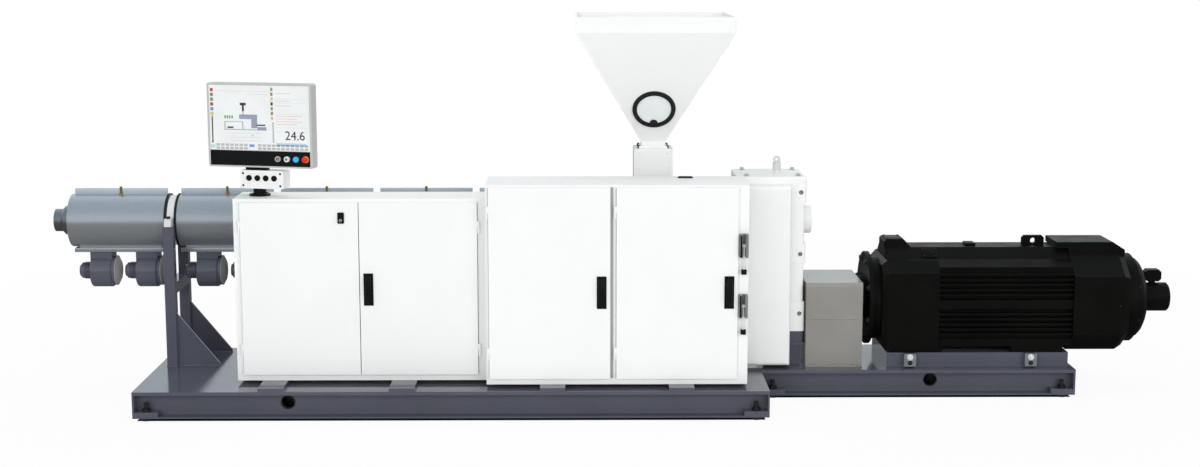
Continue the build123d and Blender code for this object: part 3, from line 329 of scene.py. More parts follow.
# Mullion strip: a grey edge profile, glued on the post between the two drive doors, which fills the
# slit that shows between them.
grey_profile = paint("grey_profile", (0.36, 0.36, 0.355), 0.5, 0.05, 0.1, 500.0, 0.25)
post_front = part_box("drive_cabinet")[0].y
door_low, door_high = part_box("drive_left_door")
next_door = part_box("drive_right_door")[0].x
door_gap, strip_stand, strip_sink = 0.001, 0.0008, 0.001
mullion = rounded_block((door_high.x + door_gap, post_front - strip_stand, door_low.z),
                        (next_door - door_gap, post_front + strip_sink, door_high.z), 0.0003, 1)
finish_piece(mullion, "mullion_strip", grey_profile, "drive_cabinet")

# Door seals: extruded black rubber strips, glued round the back edge of each door, which close the
# gap to the cabinet front.
rubber = paint("black_rubber", (0.012, 0.012, 0.013), 0.62, 0.2, 0.25, 700.0, 0.25)


def door_seal(door):
    low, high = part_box(door)
    inset, width, thickness, stand, hinge_side = 0.005, 0.012, 0.0014, 0.001, 0.016
    middle = (low + high) / 2
    deselect()
    bpy.ops.mesh.primitive_cube_add(
        size=1, location=(middle.x, high.y + stand, middle.z),
        scale=(high.x - low.x - 2 * inset - hinge_side, thickness, high.z - low.z - 2 * inset))
    seal = bpy.context.object
    fix_place()
    pierce(seal, lambda centre, normal: abs(normal.y) > 0.9, width)
    finish_piece(seal, door + "_seal", rubber, door)


for door in ("control_left_door", "control_right_door", "drive_left_door", "drive_right_door"):
    door_seal(door)


# Swing handles: moulded black plastic in a shallow surround, with a raised grip and a round lock cover
# at the foot, bolted through the door.
def turned(steps, sides=24):
    deselect()
    radius, height = steps[0]
    bpy.ops.mesh.primitive_circle_add(vertices=sides, radius=radius, fill_type="NGON",
                                      location=(0, 0, height))
    piece = bpy.context.object
    fix_place()
    bpy.ops.object.mode_set(mode="EDIT")
    bpy.ops.mesh.select_all(action="SELECT")
    for next_radius, next_height in steps[1:]:
        bpy.ops.mesh.extrude_region_move(TRANSFORM_OT_translate={"value": (0, 0, next_height - height)})
        share = next_radius / radius
        bpy.ops.transform.resize(value=(share, share, 1))
        radius, height = next_radius, next_height
    bpy.ops.mesh.select_all(action="SELECT")
    bpy.ops.mesh.normals_make_consistent(inside=False)
    bpy.ops.object.mode_set(mode="OBJECT")
    return piece


handles = ("control_door_handle", "drive_left_handle", "drive_right_handle")
rim, rim_depth, lock_rise = 0.004, 0.005, 0.027
grip_inset, grip_stand, grip_sink, grip_foot, grip_head = 0.007, 0.003, 0.002, 0.052, 0.010
coat(black_plastic, *handles)
for handle in handles:
    low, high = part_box(handle)
    surround = rounded_block((low.x - rim, high.y - rim_depth, low.z - rim),
                             (high.x + rim, high.y, high.z + rim), 0.002)
    grip = rounded_block((low.x + grip_inset, low.y - grip_stand, low.z + grip_foot),
                         (high.x - grip_inset, low.y + grip_sink, high.z - grip_head), 0.0024)
    lock = turned([(0.0125, -0.001), (0.0125, 0.0015), (0.010, 0.003), (0.010, 0.002), (0.002, 0.002)])
    lock = lay_out(lock, [(((low.x + high.x) / 2, low.y, low.z + lock_rise), front)])
    mould(join_up([surround, grip, lock]), handle + "_grip", handle)


# Key switch on the left control door: a moulded black plate with a zinc plated lock barrel and its
# key, held by a nut behind the door.
def plated_steel(name, colour, roughness):
    material, tree, shader, place = new_material(name)
    dark = [channel * 0.86 for channel in colour]
    tint(tree, shader, noise(tree, place, 30.0, 4.0), dark, colour)
    shader.inputs["Metallic"].default_value = 1.0
    roughen(tree, shader, noise(tree, place, 120.0), roughness * 0.8, roughness * 1.25)
    return material


zinc = plated_steel("zinc_plate", (0.66, 0.66, 0.64), 0.34)
coat(black_plastic, "control_key_switch")
low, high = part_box("control_key_switch")
lock_drop, bow_half, bow_height, bow_near, bow_far = 0.0124, 0.0012, 0.008, 0.002, 0.026
key_place = Vector(((low.x + high.x) / 2, low.y, (low.z + high.z) / 2 - lock_drop))
lock_disc = turned([(0.0095, -0.001), (0.0095, 0.002), (0.0075, 0.003), (0.0075, 0.002), (0.001, 0.002)])
lock_disc = lay_out(lock_disc, [(key_place, front)])
key_bow = rounded_block(key_place + Vector((-bow_half, -bow_far, -bow_height)),
                        key_place + Vector((bow_half, -bow_near, bow_height)), 0.0008)
finish_piece(join_up([lock_disc, key_bow]), "control_key", zinc, "control_key_switch")

# Disconnect switches on the right front edge: grey moulded housings with a black strip down the left edge
# of each front, painted shade for that edge, ribs to grip, and pale levers that end in square black knobs.
grey_plastic = paint("grey_moulded", (0.235, 0.235, 0.225), 0.5, 0.05, 0.2, 800.0, 0.3)
pale_lever = paint("pale_lever", (0.66, 0.66, 0.64), 0.4, 0.03, 0.1, 500.0, 0.3)
coat(grey_plastic, "switch_housings")
coat(pale_lever, "upper_switch_lever", "lower_switch_lever")
low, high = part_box("switch_housings")
housing_height, strip_edge, strip_width, strip_end, strip_stand = 0.129, 0.001, 0.011, 0.004, 0.0025
rib_width, rib_edge, rib_end, rib_stand, rooted = 0.004, 0.004, 0.010, 0.0018, 0.001
strips, ribs = [], []
for foot in (high.z - housing_height, low.z):
    head = foot + housing_height
    strips.append(rounded_block((low.x + strip_edge, low.y - strip_stand, foot + strip_end),
                                (low.x + strip_width, low.y + rooted, head - strip_end), 0.0012))
    for rib in range(3):
        rib_left = high.x - rib_edge - (rib + 1) * rib_width
        ribs.append(rounded_block((rib_left, low.y - rib_stand, foot + rib_end),
                                  (rib_left + rib_width * 0.6, low.y + rooted, head - rib_end), 0.0007))
# The black strips on the left edges are painted shade.
mould(join_up(strips), "switch_edge_shade_strips", "switch_housings")
finish_piece(join_up(ribs), "switch_grip_ribs", grey_plastic, "switch_housings")
knob_radius, knob_half, knob_flat = 0.013, 0.0142, 0.0008
for lever in ("upper_switch_lever", "lower_switch_lever"):
    low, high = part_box(lever)
    centre = Vector(((low.x + high.x) / 2, (low.y + high.y) / 2, low.z + knob_radius))
    corner = Vector((knob_half, knob_half, knob_half - knob_flat))
    knob = rounded_block(centre - corner, centre + corner, 0.0022)
    mould(knob, lever + "_knob", lever)


# Operator panel: a black swivel bolted to the cabinet roof carries a white button box, a tilt bar and a
# grey monitor. The panel stands turned a little, and everything on it is set out square to it.
def dome_screw(radius, height):
    return turned([(radius, -0.001), (radius, height * 0.3), (radius * 0.82, height * 0.75),
                   (radius * 0.4, height), (radius * 0.36, height * 0.5), (radius * 0.05, height * 0.5)], 14)


def on_circle(count, radius, start=0.0):
    turns = [start + 2 * pi * step / count for step in range(count)]
    return [(radius * cos(turn), radius * sin(turn)) for turn in turns]


panel_yaw = radians(-14)
low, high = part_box("panel_swivel")
swivel = Vector(((low.x + high.x) / 2, (low.y + high.y) / 2, 0))
flange_top, flange_circle = low.z + 0.010, 0.048


def on_panel(piece):
    piece.location = swivel
    piece.rotation_euler = (0, 0, panel_yaw)
    return piece


coat(black_plastic, "panel_swivel", "panel_tilt_bar", "panel_key_strip", "panel_push_buttons")
coat(white, "panel_button_box")
light_grey = paint("light_grey_moulded", (0.52, 0.52, 0.505), 0.42, 0.03, 0.12, 700.0, 0.3)
coat(light_grey, "panel_monitor")
spots = [(swivel + Vector((x, y, flange_top)), up) for x, y in on_circle(4, flange_circle, pi / 4)]
fasten(dome_screw(0.0065, 0.005), spots, "panel_flange_screws", "panel_swivel")

# Button box front: four black push buttons, each in a moulded collar, and black screws in the corners
# that hold the cover.
box_face, box_low, box_high = -0.050, 1.2573, 1.3593
box_left, box_right, screw_in, screw_up = -0.095, 0.165, 0.019, 0.017
button_rise, button_places = 1.3163, (-0.040, 0.010, 0.060, 0.110)
spots = [((x, box_face, z), front) for x in (box_left + screw_in, box_right - screw_in)
         for z in (box_low + screw_up, box_high - screw_up)]
cover_screws = on_panel(lay_out(dome_screw(0.0062, 0.004), spots))
finish_piece(cover_screws, "button_box_screws", black_oxide, "panel_button_box")
spots = [((x, box_face, button_rise), front) for x in button_places]
collars = on_panel(lay_out(ring(0.0132, 0.0165, 0.004), spots))
mould(collars, "button_collars", "panel_button_box")

# Coloured controls on the strip under the screen: a grey selector, a white and a blue button, and a red
# stop mushroom on a yellow ring, moulded in colour and pushed on the black button stems.
strip_face, strip_rise, stem = -0.060, 1.4283, 0.014
selector_x, white_x, blue_x, stop_x = 0.143, 0.197, 0.251, 0.305


def panel_fitting(steps, x, name, colour):
    cap = on_panel(lay_out(turned(steps), [((x, strip_face, strip_rise), front)]))
    finish = paint(name + "_plastic", colour, 0.35, 0.04, 0.05, 900.0, 0.4)
    finish_piece(cap, name, finish, "panel_key_strip")


cap_steps = [(0.0160, 0), (0.0160, stem), (0.0150, stem + 0.002), (0.006, stem + 0.003)]
panel_fitting([(0.0160, 0), (0.0160, stem), (0.0150, stem + 0.002), (0.0095, stem + 0.002), (0.0090, stem)],
              selector_x, "selector_ring", (0.38, 0.38, 0.36))
panel_fitting(cap_steps, white_x, "white_button", (0.72, 0.76, 0.80))
panel_fitting([(0.007, stem), (0.007, stem + 0.0042), (0.004, stem + 0.005)], white_x, "green_mark",
              (0.03, 0.22, 0.06))
panel_fitting(cap_steps, blue_x, "blue_button", (0.05, 0.47, 0.80))
panel_fitting([(0.019, 0), (0.019, 0.004), (0.018, 0.006)], stop_x, "stop_ring", (0.80, 0.42, 0.03))
panel_fitting([(0.0155, 0.006), (0.0155, stem), (0.0168, stem + 0.001), (0.0168, stem + 0.006),
               (0.0135, stem + 0.010), (0.005, stem + 0.012)], stop_x, "stop_mushroom", (0.75, 0.012, 0.010))


# Screen: a lit white display with a generic page of controls. The marks are flat colour areas just over
# the glass: icon columns, a process sketch, lists, a reading and rows of keys.
def display():
    material, tree, shader, place = new_material("lit_display")
    tint(tree, shader, noise(tree, place, 8.0), (0.84, 0.845, 0.84), (0.88, 0.885, 0.875))
    shader.inputs["Roughness"].default_value = 0.25
    shader.inputs["Specular IOR Level"].default_value = 0.3
    return material


coat(display(), "panel_screen")
screen_left, screen_right, screen_top, screen_foot = -0.263, 0.333, 1.8333, 1.4733
screen_face, ink = -0.0600, 0.0005


def mark(across0, down0, across1, down1):
    width, height = screen_right - screen_left, screen_top - screen_foot
    low = (screen_left + across0 * width, screen_face - ink, screen_top - down1 * height)
    high = (screen_left + across1 * width, screen_face, screen_top - down0 * height)
    return rounded_block(low, high, 0.00015, 1)


def screen_marks(name, colour, areas):
    finish = paint("screen_" + name, colour, 0.4, 0.03, 0.02, 900.0, 0.2)
    marks = join_up([mark(*area) for area in areas])
    finish_piece(on_panel(marks), "screen_" + name, finish, "panel_screen")


icon, icon_pitch = 0.052, 0.074
left_icons = [(0.012, 0.050 + row * icon_pitch, 0.042, 0.050 + row * icon_pitch + icon) for row in range(6)]
right_icons = [(0.618, 0.030 + row * icon_pitch, 0.640, 0.030 + row * icon_pitch + icon) for row in range(7)]
screen_marks("red", (0.55, 0.06, 0.08), [left_icons[0], left_icons[3], (0.016, 0.870, 0.036, 0.895)])
screen_marks("green", (0.16, 0.38, 0.14), [left_icons[2], right_icons[0], right_icons[4]]
             + [(0.150 + cell * 0.024, 0.470, 0.166 + cell * 0.024, 0.515) for cell in range(4)])
screen_marks("blue", (0.16, 0.32, 0.62), [left_icons[4], (0.395, 0.910, 0.445, 0.950)])
screen_marks("yellow", (0.62, 0.56, 0.16), [left_icons[5], right_icons[2], right_icons[6],
                                            (0.420, 0.765, 0.440, 0.785)])
screen_marks("brown", (0.36, 0.20, 0.14), [left_icons[1], right_icons[1], right_icons[5]])
screen_marks("dark", (0.055, 0.060, 0.065), [right_icons[3], (0.022, 0.480, 0.034, 0.870),
                                             (0.330, 0.290, 0.350, 0.400), (0.310, 0.270, 0.370, 0.310),
                                             (0.470, 0.600, 0.560, 0.622), (0.180, 0.640, 0.240, 0.665)])
screen_marks("slate", (0.30, 0.34, 0.42), [(0.300, 0.450, 0.480, 0.520), (0.420, 0.520, 0.480, 0.660),
                                           (0.480, 0.640, 0.570, 0.690), (0.150, 0.680, 0.570, 0.690),
                                           (0.150, 0.560, 0.158, 0.690), (0.150, 0.560, 0.330, 0.568),
                                           (0.330, 0.560, 0.338, 0.690), (0.336, 0.400, 0.344, 0.450)])
keys = [(0.062 + key * 0.0465, down, 0.062 + key * 0.0465 + 0.036, down + 0.036)
        for key in range(20) for down in (0.905, 0.955)]
screen_marks("keys", (0.50, 0.50, 0.49), [key for key in keys if not 0.36 < key[0] < 0.46]
             + [(0.630, 0.560, 0.645, 0.880)])
screen_marks("lines", (0.68, 0.68, 0.67), [(0.060, 0.088, 0.600, 0.094), (0.380, 0.130, 0.580, 0.138)]
             + [(0.665, down, 0.970, down + 0.005) for down in (0.200, 0.262, 0.430, 0.640, 0.700)]
             + [(0.670, down, 0.820, down + 0.012) for down in (0.110, 0.230, 0.300)]
             + [(0.210, down, 0.520, down + 0.008) for down in (0.735, 0.800, 0.850)])
screen_marks("pink", (0.76, 0.58, 0.55), [(0.670, 0.460 + row * 0.042, 0.930 - 0.05 * (row % 2),
                                           0.470 + row * 0.042) for row in range(4)])
screen_marks("cyan", (0.46, 0.74, 0.68), [(0.006, 0.925, 0.052, 0.970)])
screen_marks("sky", (0.46, 0.66, 0.82), [(0.665, 0.880, 0.965, 0.925)])
reading_left, reading_foot, digit_size, digit_depth = 0.185, 1.535, 0.070, 0.0002
deselect()
bpy.ops.object.text_add(location=(0, 0, 0))
reading = bpy.context.object
reading.data.body = "24.6"
reading.data.size = digit_size
reading.data.extrude = digit_depth
reading.location = (reading_left, screen_face - ink, reading_foot)
reading.rotation_euler = (pi / 2, 0, 0)
bpy.ops.object.convert(target="MESH")
reading = bpy.context.object
fix_place()
digit_ink = paint("screen_ink", (0.02, 0.02, 0.02), 0.5)
finish_piece(on_panel(reading), "screen_reading", digit_ink, "panel_screen")

# Barrel and screw: turned and nitrided steel, dull grey, with the marks of the last cut round them.
# The barrel is bolted to the feed housing and the screw lies in it.
steel = plated_steel("turned_steel", (0.33, 0.333, 0.335), 0.42)
coat(steel, "barrel", "screw")


# Zone covers: rolled sheet clamshells in satin blue-grey lacquer, with a folded seam lip on top and
# an air duct below, each pair clipped together round the heaters.
def lacquered_sheet(name, colour, roughness, metal):
    material, tree, shader, place = new_material(name)
    lines = noise(tree, place, 60.0, 4.0, (1.0, 14.0, 14.0))
    tint(tree, shader, lines, [channel * 0.94 for channel in colour], colour)
    shader.inputs["Metallic"].default_value = metal
    roughen(tree, shader, lines, roughness * 0.9, roughness * 1.15)
    relief(tree, shader, lines, 0.04, 0.0004)
    return material


cover_sheet = lacquered_sheet("cover_lacquer", (0.47, 0.49, 0.515), 0.30, 0.75)
coat(cover_sheet, "zone_covers")
zone_length, zone_pitch = 0.575, 0.585
covers_low, covers_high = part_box("zone_covers")
axis_y, screw_rise = (covers_low.y + covers_high.y) / 2, 1.0
zone_starts = [covers_high.x - zone_length - zone * zone_pitch for zone in range(4)] + [covers_low.x]
duct_half, duct_foot, duct_screw_rise = 0.065, covers_low.z, 0.010
spots = [((start + zone_length * share, axis_y + side * duct_half, duct_foot + duct_screw_rise), (0, side, 0))
         for start in zone_starts for side in (-1, 1) for share in (0.15, 0.38, 0.62, 0.85)]
set_out(dome_screw(0.0045, 0.003), spots, "duct_screws", cover_sheet, "zone_covers")

# Seam strips and duct skirts: folded strips over the seam lips, in a lacquer made lighter and bluer than
# the covers as a painted reflection of the sky, and plain skirts along the ducts, nearly as long as the
# covers and riveted to them.
seam_top, seam_half, seam_height, strip_margin = covers_high.z, 0.0068, 0.038, 0.016
skirt_half, skirt_height = duct_half + 0.001, 0.024
seam_lacquer_and_sky_sheen = lacquered_sheet("seam_lacquer_and_sky_sheen", (0.50, 0.56, 0.63), 0.34, 0.15)
strips, skirts = [], []
for start in zone_starts:
    strip_left, strip_right = start + strip_margin, start + zone_length - strip_margin
    strips.append(rounded_block((strip_left, axis_y - seam_half, seam_top - seam_height),
                                (strip_right, axis_y + seam_half, seam_top), 0.001))
    skirts.append(rounded_block((strip_left, axis_y - skirt_half, duct_foot),
                                (strip_right, axis_y + skirt_half, duct_foot + skirt_height), 0.001))
finish_piece(join_up(strips), "seam_strips", seam_lacquer_and_sky_sheen, "zone_covers")
finish_piece(join_up(skirts), "duct_skirts", cover_sheet, "zone_covers")

# Edge trims: black rings round the facing ends of the first two covers, on both sides of the barrel clamp.
cover_radius, trim_bite, trim_wall, trim_width, trim_past = 0.155, 0.0005, 0.003, 0.013, 0.001
trim = ring(cover_radius - trim_bite, cover_radius + trim_wall, trim_width, 48)
spots = [((zone_starts[4] + zone_length - trim_width + trim_past, axis_y, screw_rise), right),
         ((zone_starts[3] - trim_past, axis_y, screw_rise), right)]
set_out(trim, spots, "cover_edge_trims", rubber, "zone_covers")

# Temperature probes: brass stems screwed into the barrel through the covers, each with a hexagon nut
# and a knurled cap.
brass = plated_steel("brass_probe", (0.40, 0.27, 0.08), 0.34)
coat(brass, "zone_probes")
probes_low, probes_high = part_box("zone_probes")
probe_height = 0.046
probe_y, crest = (probes_low.y + probes_high.y) / 2, probes_high.z - probe_height
nut = turned([(0.0115, -0.010), (0.0115, 0.008), (0.0100, 0.010)], 6)
cap = turned([(0.0074, 0.034), (0.0078, 0.035), (0.0078, 0.044), (0.0066, 0.0458)], 16)
spots = [((start + zone_length / 2, probe_y, crest), up) for start in zone_starts]
set_out(join_up([nut, cap]), spots, "probe_nuts", brass, "zone_probes")

# Cooling blowers: two under each zone, drums of pressed sheet with a dished inlet on one side and a
# ribbed fan motor on the other, in the slate of the base.
coat(slate, "zone_blowers")
blower_pitch, blower_shift, blower_half, drum_rise, inlet_ring = 0.268, 0.012, 0.063, 0.097, 0.018
drum_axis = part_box("zone_blowers")[0].z + drum_rise
middles = [start + zone_length / 2 + blower_shift + side * blower_pitch / 2
           for start in zone_starts for side in (-1, 1)]
ribs = join_up([turned([(0.0472, offset), (0.0505, offset + 0.001), (0.0505, offset + 0.004),
                        (0.0472, offset + 0.005)], 28) for offset in (0.010, 0.020, 0.030, 0.040)])
spots = [((middle - blower_half, axis_y, drum_axis), left) for middle in middles]
set_out(ribs, spots, "fan_motor_ribs", slate, "zone_blowers")
intake_grey = paint("intake_grey", (0.36, 0.345, 0.33), 0.5, 0.05, 0.1, 300.0, 0.25)
intake = turned([(0.0885, -0.001), (0.0885, 0.0020), (0.0780, 0.0070), (0.0605, 0.0170), (0.0310, 0.0232),
                 (0.0040, 0.0240)], 36)
spots = [((middle + (blower_half + inlet_ring), axis_y, drum_axis), right) for middle in middles]
set_out(intake, spots, "blower_intakes", intake_grey, "zone_blowers")


# Barrel stand: square posts, a crossbar and gussets of flat steel, welded together and to the deck with
# fillet beads, then painted with the base.
def weld(start, end, radius):
    start, end = Vector(start), Vector(end)
    run = end - start
    count = max(2, round(run.length / (radius * 1.6)))
    pitch = run.length / count
    bead = turned([(radius * 0.80, 0), (radius, pitch * 0.5), (radius * 0.80, pitch)], 8)
    ripples = bead.modifiers.new("ripples", "ARRAY")
    ripples.count = count
    ripples.use_relative_offset = False
    ripples.use_constant_offset = True
    ripples.constant_offset_displace = (0, 0, pitch)
    bpy.ops.object.modifier_apply(modifier="ripples")
    return lay_out(bead, [(start, run)])


coat(slate, "barrel_stand")
low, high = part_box("barrel_stand")
post, gusset_half, gusset_rise, bead_size = 0.060, 0.006, 0.313, 0.006
toe_end, foot_end, crown_end = 0.004, 0.004, 0.010
beads = []
for side in (-1, 1):
    post_y = axis_y + side * (high.y - low.y - post) / 2
    for face in (-1, 1):
        post_side, gusset_side = post_y + face * post / 2, post_y + face * gusset_half
        beads.append(weld((low.x, post_side, low.z), (low.x + post, post_side, low.z), bead_size))
        beads.append(weld((low.x + post, gusset_side, low.z), (high.x - toe_end, gusset_side, low.z),
                          bead_size))
        beads.append(weld((low.x + post, gusset_side, low.z + foot_end),
                          (low.x + post, gusset_side, low.z + gusset_rise - crown_end), bead_size))
    beads.append(weld((low.x, post_y - post / 2, low.z), (low.x, post_y + post / 2, low.z), bead_size))
finish_piece(join_up(beads), "stand_welds", slate, "barrel_stand")


# Barrel clamp: a split ring in white enamel whose ears are held down on the posts with black socket
# screws.
def hex_bolt(across, height):
    washer = turned([(across * 0.95, -0.0005), (across * 0.95, 0.0018), (across * 0.88, 0.0025)], 18)
    head = turned([(across * 0.577, 0.002), (across * 0.577, height * 0.85), (across * 0.50, height)], 6)
    return join_up([washer, head])


pale_enamel = paint("pale_enamel", (0.72, 0.72, 0.71), 0.36, 0.02, 0.1, 260.0, 0.3)
coat(pale_enamel, "barrel_clamp")
low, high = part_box("barrel_clamp")
ear_top, ear_inset = 1.034, 0.030
spots = [(((low.x + high.x) / 2, y, ear_top), up) for y in (low.y + ear_inset, high.y - ear_inset)]
socket_screw = turned([(0.012, -0.001), (0.012, 0.012), (0.011, 0.013), (0.006, 0.013), (0.006, 0.006)], 18)
fasten(socket_screw, spots, "clamp_screws", "barrel_clamp")


# Feed housing: a grey iron casting bored for the screw, with machined flanges. The barrel flange is drawn
# up to it by a ring of hexagon bolts.
def bolt_circle(x, rise, radius, direction):
    return [((x, axis_y + y, rise + z), direction) for y, z in on_circle(8, radius, pi / 8)]


cast_grey = paint("cast_grey", (0.19, 0.19, 0.20), 0.55, 0.12, 0.5, 150.0, 0.3)
coat(cast_grey, "feed_housing")
housing_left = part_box("feed_housing")[0].x
flange_thickness, flange_circle = 0.040, 0.149
spots = bolt_circle(housing_left + flange_thickness, screw_rise, flange_circle, right)
fasten(hex_bolt(0.016, 0.012), spots, "feed_flange_bolts", "feed_housing")

# Chute: a box of folded white sheet on the feed housing, with an inspection plate screwed on in front
# and bolts at the corners of its seat.
coat(white, "feed_chute")
low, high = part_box("feed_chute")
feed_x = (low.x + high.x) / 2
plate_half, plate_foot, plate_head, screw_inset = 0.095, low.z + 0.030, high.z - 0.010, 0.014
spots = [((feed_x + side * (plate_half - screw_inset), low.y, z), front) for side in (-1, 1)
         for z in (plate_foot + screw_inset, (plate_foot + plate_head) / 2, plate_head - screw_inset)]
set_out(dome_screw(0.006, 0.004), spots, "chute_plate_screws", white, "feed_chute")
seat_inset = 0.124
spots = [((feed_x + x * seat_inset, axis_y + y * seat_inset, low.z), up) for x in (-1, 1) for y in (-1, 1)]
set_out(hex_bolt(0.011, 0.009), spots, "chute_foot_bolts", zinc, "feed_housing")

# Hopper: four sloping plates, a straight band with a folded lip and a flanged outlet, welded along the
# corners from outside and powder coated white.
coat(white, "hopper_neck", "hopper_funnel", "hopper_rim_band")
funnel_low, funnel_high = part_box("hopper_funnel")
funnel_half, outlet_half, lip_height, seam_bead = (funnel_high.x - funnel_low.x) / 2, 0.0685, 0.024, 0.0028
band_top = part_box("hopper_rim_band")[1].z - lip_height
beads = []
for x in (-1, 1):
    for y in (-1, 1):
        foot = (feed_x + x * outlet_half, axis_y + y * outlet_half, funnel_low.z)
        head = (feed_x + x * funnel_half, axis_y + y * funnel_half, funnel_high.z)
        beads += [weld(foot, head, seam_bead), weld(head, (head[0], head[1], band_top), seam_bead)]
finish_piece(join_up(beads), "hopper_corner_welds", white, "hopper_funnel")

# Toggle clips at the corners of the outlet flange: black steel catches that hold the hopper down on
# the chute, each a base and a short thumb lever.
low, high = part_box("hopper_neck")
clip_inset, clip_half, clip_top, clip_sink = 0.016, 0.009, 0.015, 0.0005
thumb_half, thumb_foot, thumb_top = 0.006, 0.012, 0.019
clips = []
for x in (-1, 1):
    for y in (-1, 1):
        edge_x = feed_x + x * (high.x - low.x) / 2
        edge_y = axis_y + y * ((high.y - low.y) / 2 - clip_inset)
        clips.append(rounded_block((edge_x - clip_half, edge_y - clip_half, low.z - clip_sink),
                                   (edge_x + clip_half, edge_y + clip_half, low.z + clip_top), 0.003))
        clips.append(rounded_block((edge_x - thumb_half, edge_y - thumb_half, low.z + thumb_foot),
                                   (edge_x + thumb_half, edge_y + thumb_half, low.z + thumb_top), 0.002))
finish_piece(join_up(clips), "hopper_toggle_clips", black_oxide, "hopper_neck")


# Sight glass: a disc of milky white at part opacity in the front plate, its white painted light that makes
# the glass read bright, held by a black rubber ring with button screws. A black disc at its lower edge is
# painted shade for the dark outlet seen through the glass.
def painted_light_glass():
    material, tree, shader, place = new_material("sight_glass_painted_light")
    # Milky white at part opacity: painted light that brightens the glass.
    shader.inputs["Base Color"].default_value = (0.93, 0.96, 0.96, 1)
    roughen(tree, shader, noise(tree, place, 18.0), 0.03, 0.08)
    shader.inputs["Alpha"].default_value = 0.45
    return material


coat(painted_light_glass(), "sight_glass")
coat(rubber, "sight_glass_ring")
low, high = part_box("sight_glass_ring")
ring_half, screw_circle, shade_disc_sink, shade_disc_drop = 0.0055, 0.1135, 0.012, 0.099
slope = Vector((0, outlet_half - funnel_half, funnel_high.z - funnel_low.z)).normalized()
outward = Vector((0, -slope.z, slope.y))
ring_middle = Vector((feed_x, (low.y + high.y) / 2, (low.z + high.z) / 2)) + outward * ring_half
spots = [(ring_middle + Vector((across, 0, 0)) + slope * along, outward)
         for across, along in on_circle(8, screw_circle, pi / 8)]
fasten(dome_screw(0.0055, 0.004), spots, "sight_ring_screws", "sight_glass_ring")
# Black disc at the lower edge of the glass: painted shade for the dark outlet seen through it.
outlet_shade_disc = turned([(0.024, 0), (0.024, 0.0060), (0.020, 0.0085), (0.006, 0.0095)])
spots = [(ring_middle - outward * shade_disc_sink - slope * shade_disc_drop, outward)]
fasten(outlet_shade_disc, spots, "outlet_shade_disc", "sight_glass")

# Gearbox: a ribbed iron casting in three bolted bands, filled and painted white, on a slate pedestal,
# with a smooth sheet cover over its front. Plated screws sit in pockets on the bands, each drawn as a
# thin black ring round the head: painted shade for the pocket.
coat(white, "gearbox", "gearbox_side_cover")
coat(slate, "gearbox_pedestal")
boss_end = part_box("gearbox")[1].x
body_half, body_right, body_left = 0.205, boss_end - 0.050, boss_end - 0.456
band_rises, bolt_inset, gearbox_top = (0.471, 0.824, 1.186), 0.031, 1.277
spots = [((body_right - bolt_inset, axis_y - body_half, z), front) for z in band_rises]
spots += [((x, axis_y + body_half, z), back) for z in band_rises
          for x in (body_right - bolt_inset, body_left + bolt_inset)]
# Black rings round the bolt heads: painted shade for the pockets.
fasten(ring(0.0095, 0.0125, 0.0008, 20), spots, "gearbox_bolt_pocket_shade", "gearbox")
bolt_head = turned([(0.0092, -0.001), (0.0092, 0.004), (0.0080, 0.005), (0.0045, 0.005), (0.0045, 0.002)], 16)
set_out(bolt_head, spots, "gearbox_bolts", zinc, "gearbox")
top_left, top_right, top_half = body_left + 0.060, body_right - 0.045, 0.155
spots = [((x, axis_y + y, gearbox_top), up) for x in (top_left, top_right) for y in (-top_half, top_half)]
set_out(hex_bolt(0.022, 0.015), spots, "gearbox_top_bolts", zinc, "gearbox")

# Lifting eye on the gearbox: a pale cast eye with a turned foot, screwed down over the breather in the
# middle of the top.
eye_grey = paint("eye_grey", (0.64, 0.64, 0.63), 0.45, 0.05, 0.2, 300.0, 0.25)
breather_x, eye_half, eye_rise = body_right - 0.1543, 0.008, 0.079
eye_foot = turned([(0.0240, 0.016), (0.0240, 0.030), (0.0228, 0.0628), (0.0150, 0.0670), (0.0060, 0.0690)])
eye = lay_out(ring(0.009, 0.021, 2 * eye_half), [((0, eye_half, eye_rise), front)])
lifting_eye = join_up([eye_foot, eye])
lifting_eye.location = (breather_x, axis_y, gearbox_top)
finish_piece(lifting_eye, "gearbox_lifting_eye", eye_grey, "gearbox")

# Coupling guard: a hood of folded sheet in warm grey enamel over the shaft coupling, screwed to the deck
# through its foot lips.
guard_enamel = paint("warm_grey_enamel", (0.280, 0.266, 0.243), 0.22, 0.05, 0.06, 260.0, 0.6)
coat(guard_enamel, "coupling_guard")
low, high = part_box("coupling_guard")
lip, lip_top, end_inset = 0.011, low.z + 0.008, 0.045
spots = [((x, y, lip_top), up) for x in (low.x + end_inset, (low.x + high.x) / 2, high.x - end_inset)
         for y in (low.y + lip, high.y - lip)]
set_out(hex_bolt(0.010, 0.008), spots, "guard_foot_bolts", guard_enamel, "coupling_guard")

# Motor pedestal and jacking blocks: a welded frame painted slate, with zinc plated blocks on its sides.
# Each block has a pale clamp bolt over a tapped hole, drawn as a flat black disc: painted shade for the hole.
coat(slate, "motor_pedestal")
dull_zinc = plated_steel("dull_zinc", (0.60, 0.61, 0.62), 0.5)
coat(dull_zinc, "motor_adjusters")
low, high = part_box("motor_adjusters")
block_half, bolt_rise, hole_shade_rise = 0.035, 0.054, 0.021
block_faces = [(x, y, direction) for x in (low.x + block_half, high.x - block_half)
               for y, direction in ((low.y, front), (high.y, back))]
spots = [((x, y, low.z + bolt_rise), direction) for x, y, direction in block_faces]
set_out(hex_bolt(0.019, 0.013), spots, "adjuster_bolts", pale_enamel, "motor_adjusters")
# Flat black discs below the bolts: painted shade for the tapped holes.
spots = [((x, y, low.z + hole_shade_rise), direction) for x, y, direction in block_faces]
hole_shade_disc = turned([(0.0140, -0.001), (0.0140, 0.0008), (0.0125, 0.0014), (0.002, 0.0014)], 20)
fasten(hole_shade_disc, spots, "adjuster_hole_shade_discs", "motor_adjusters")

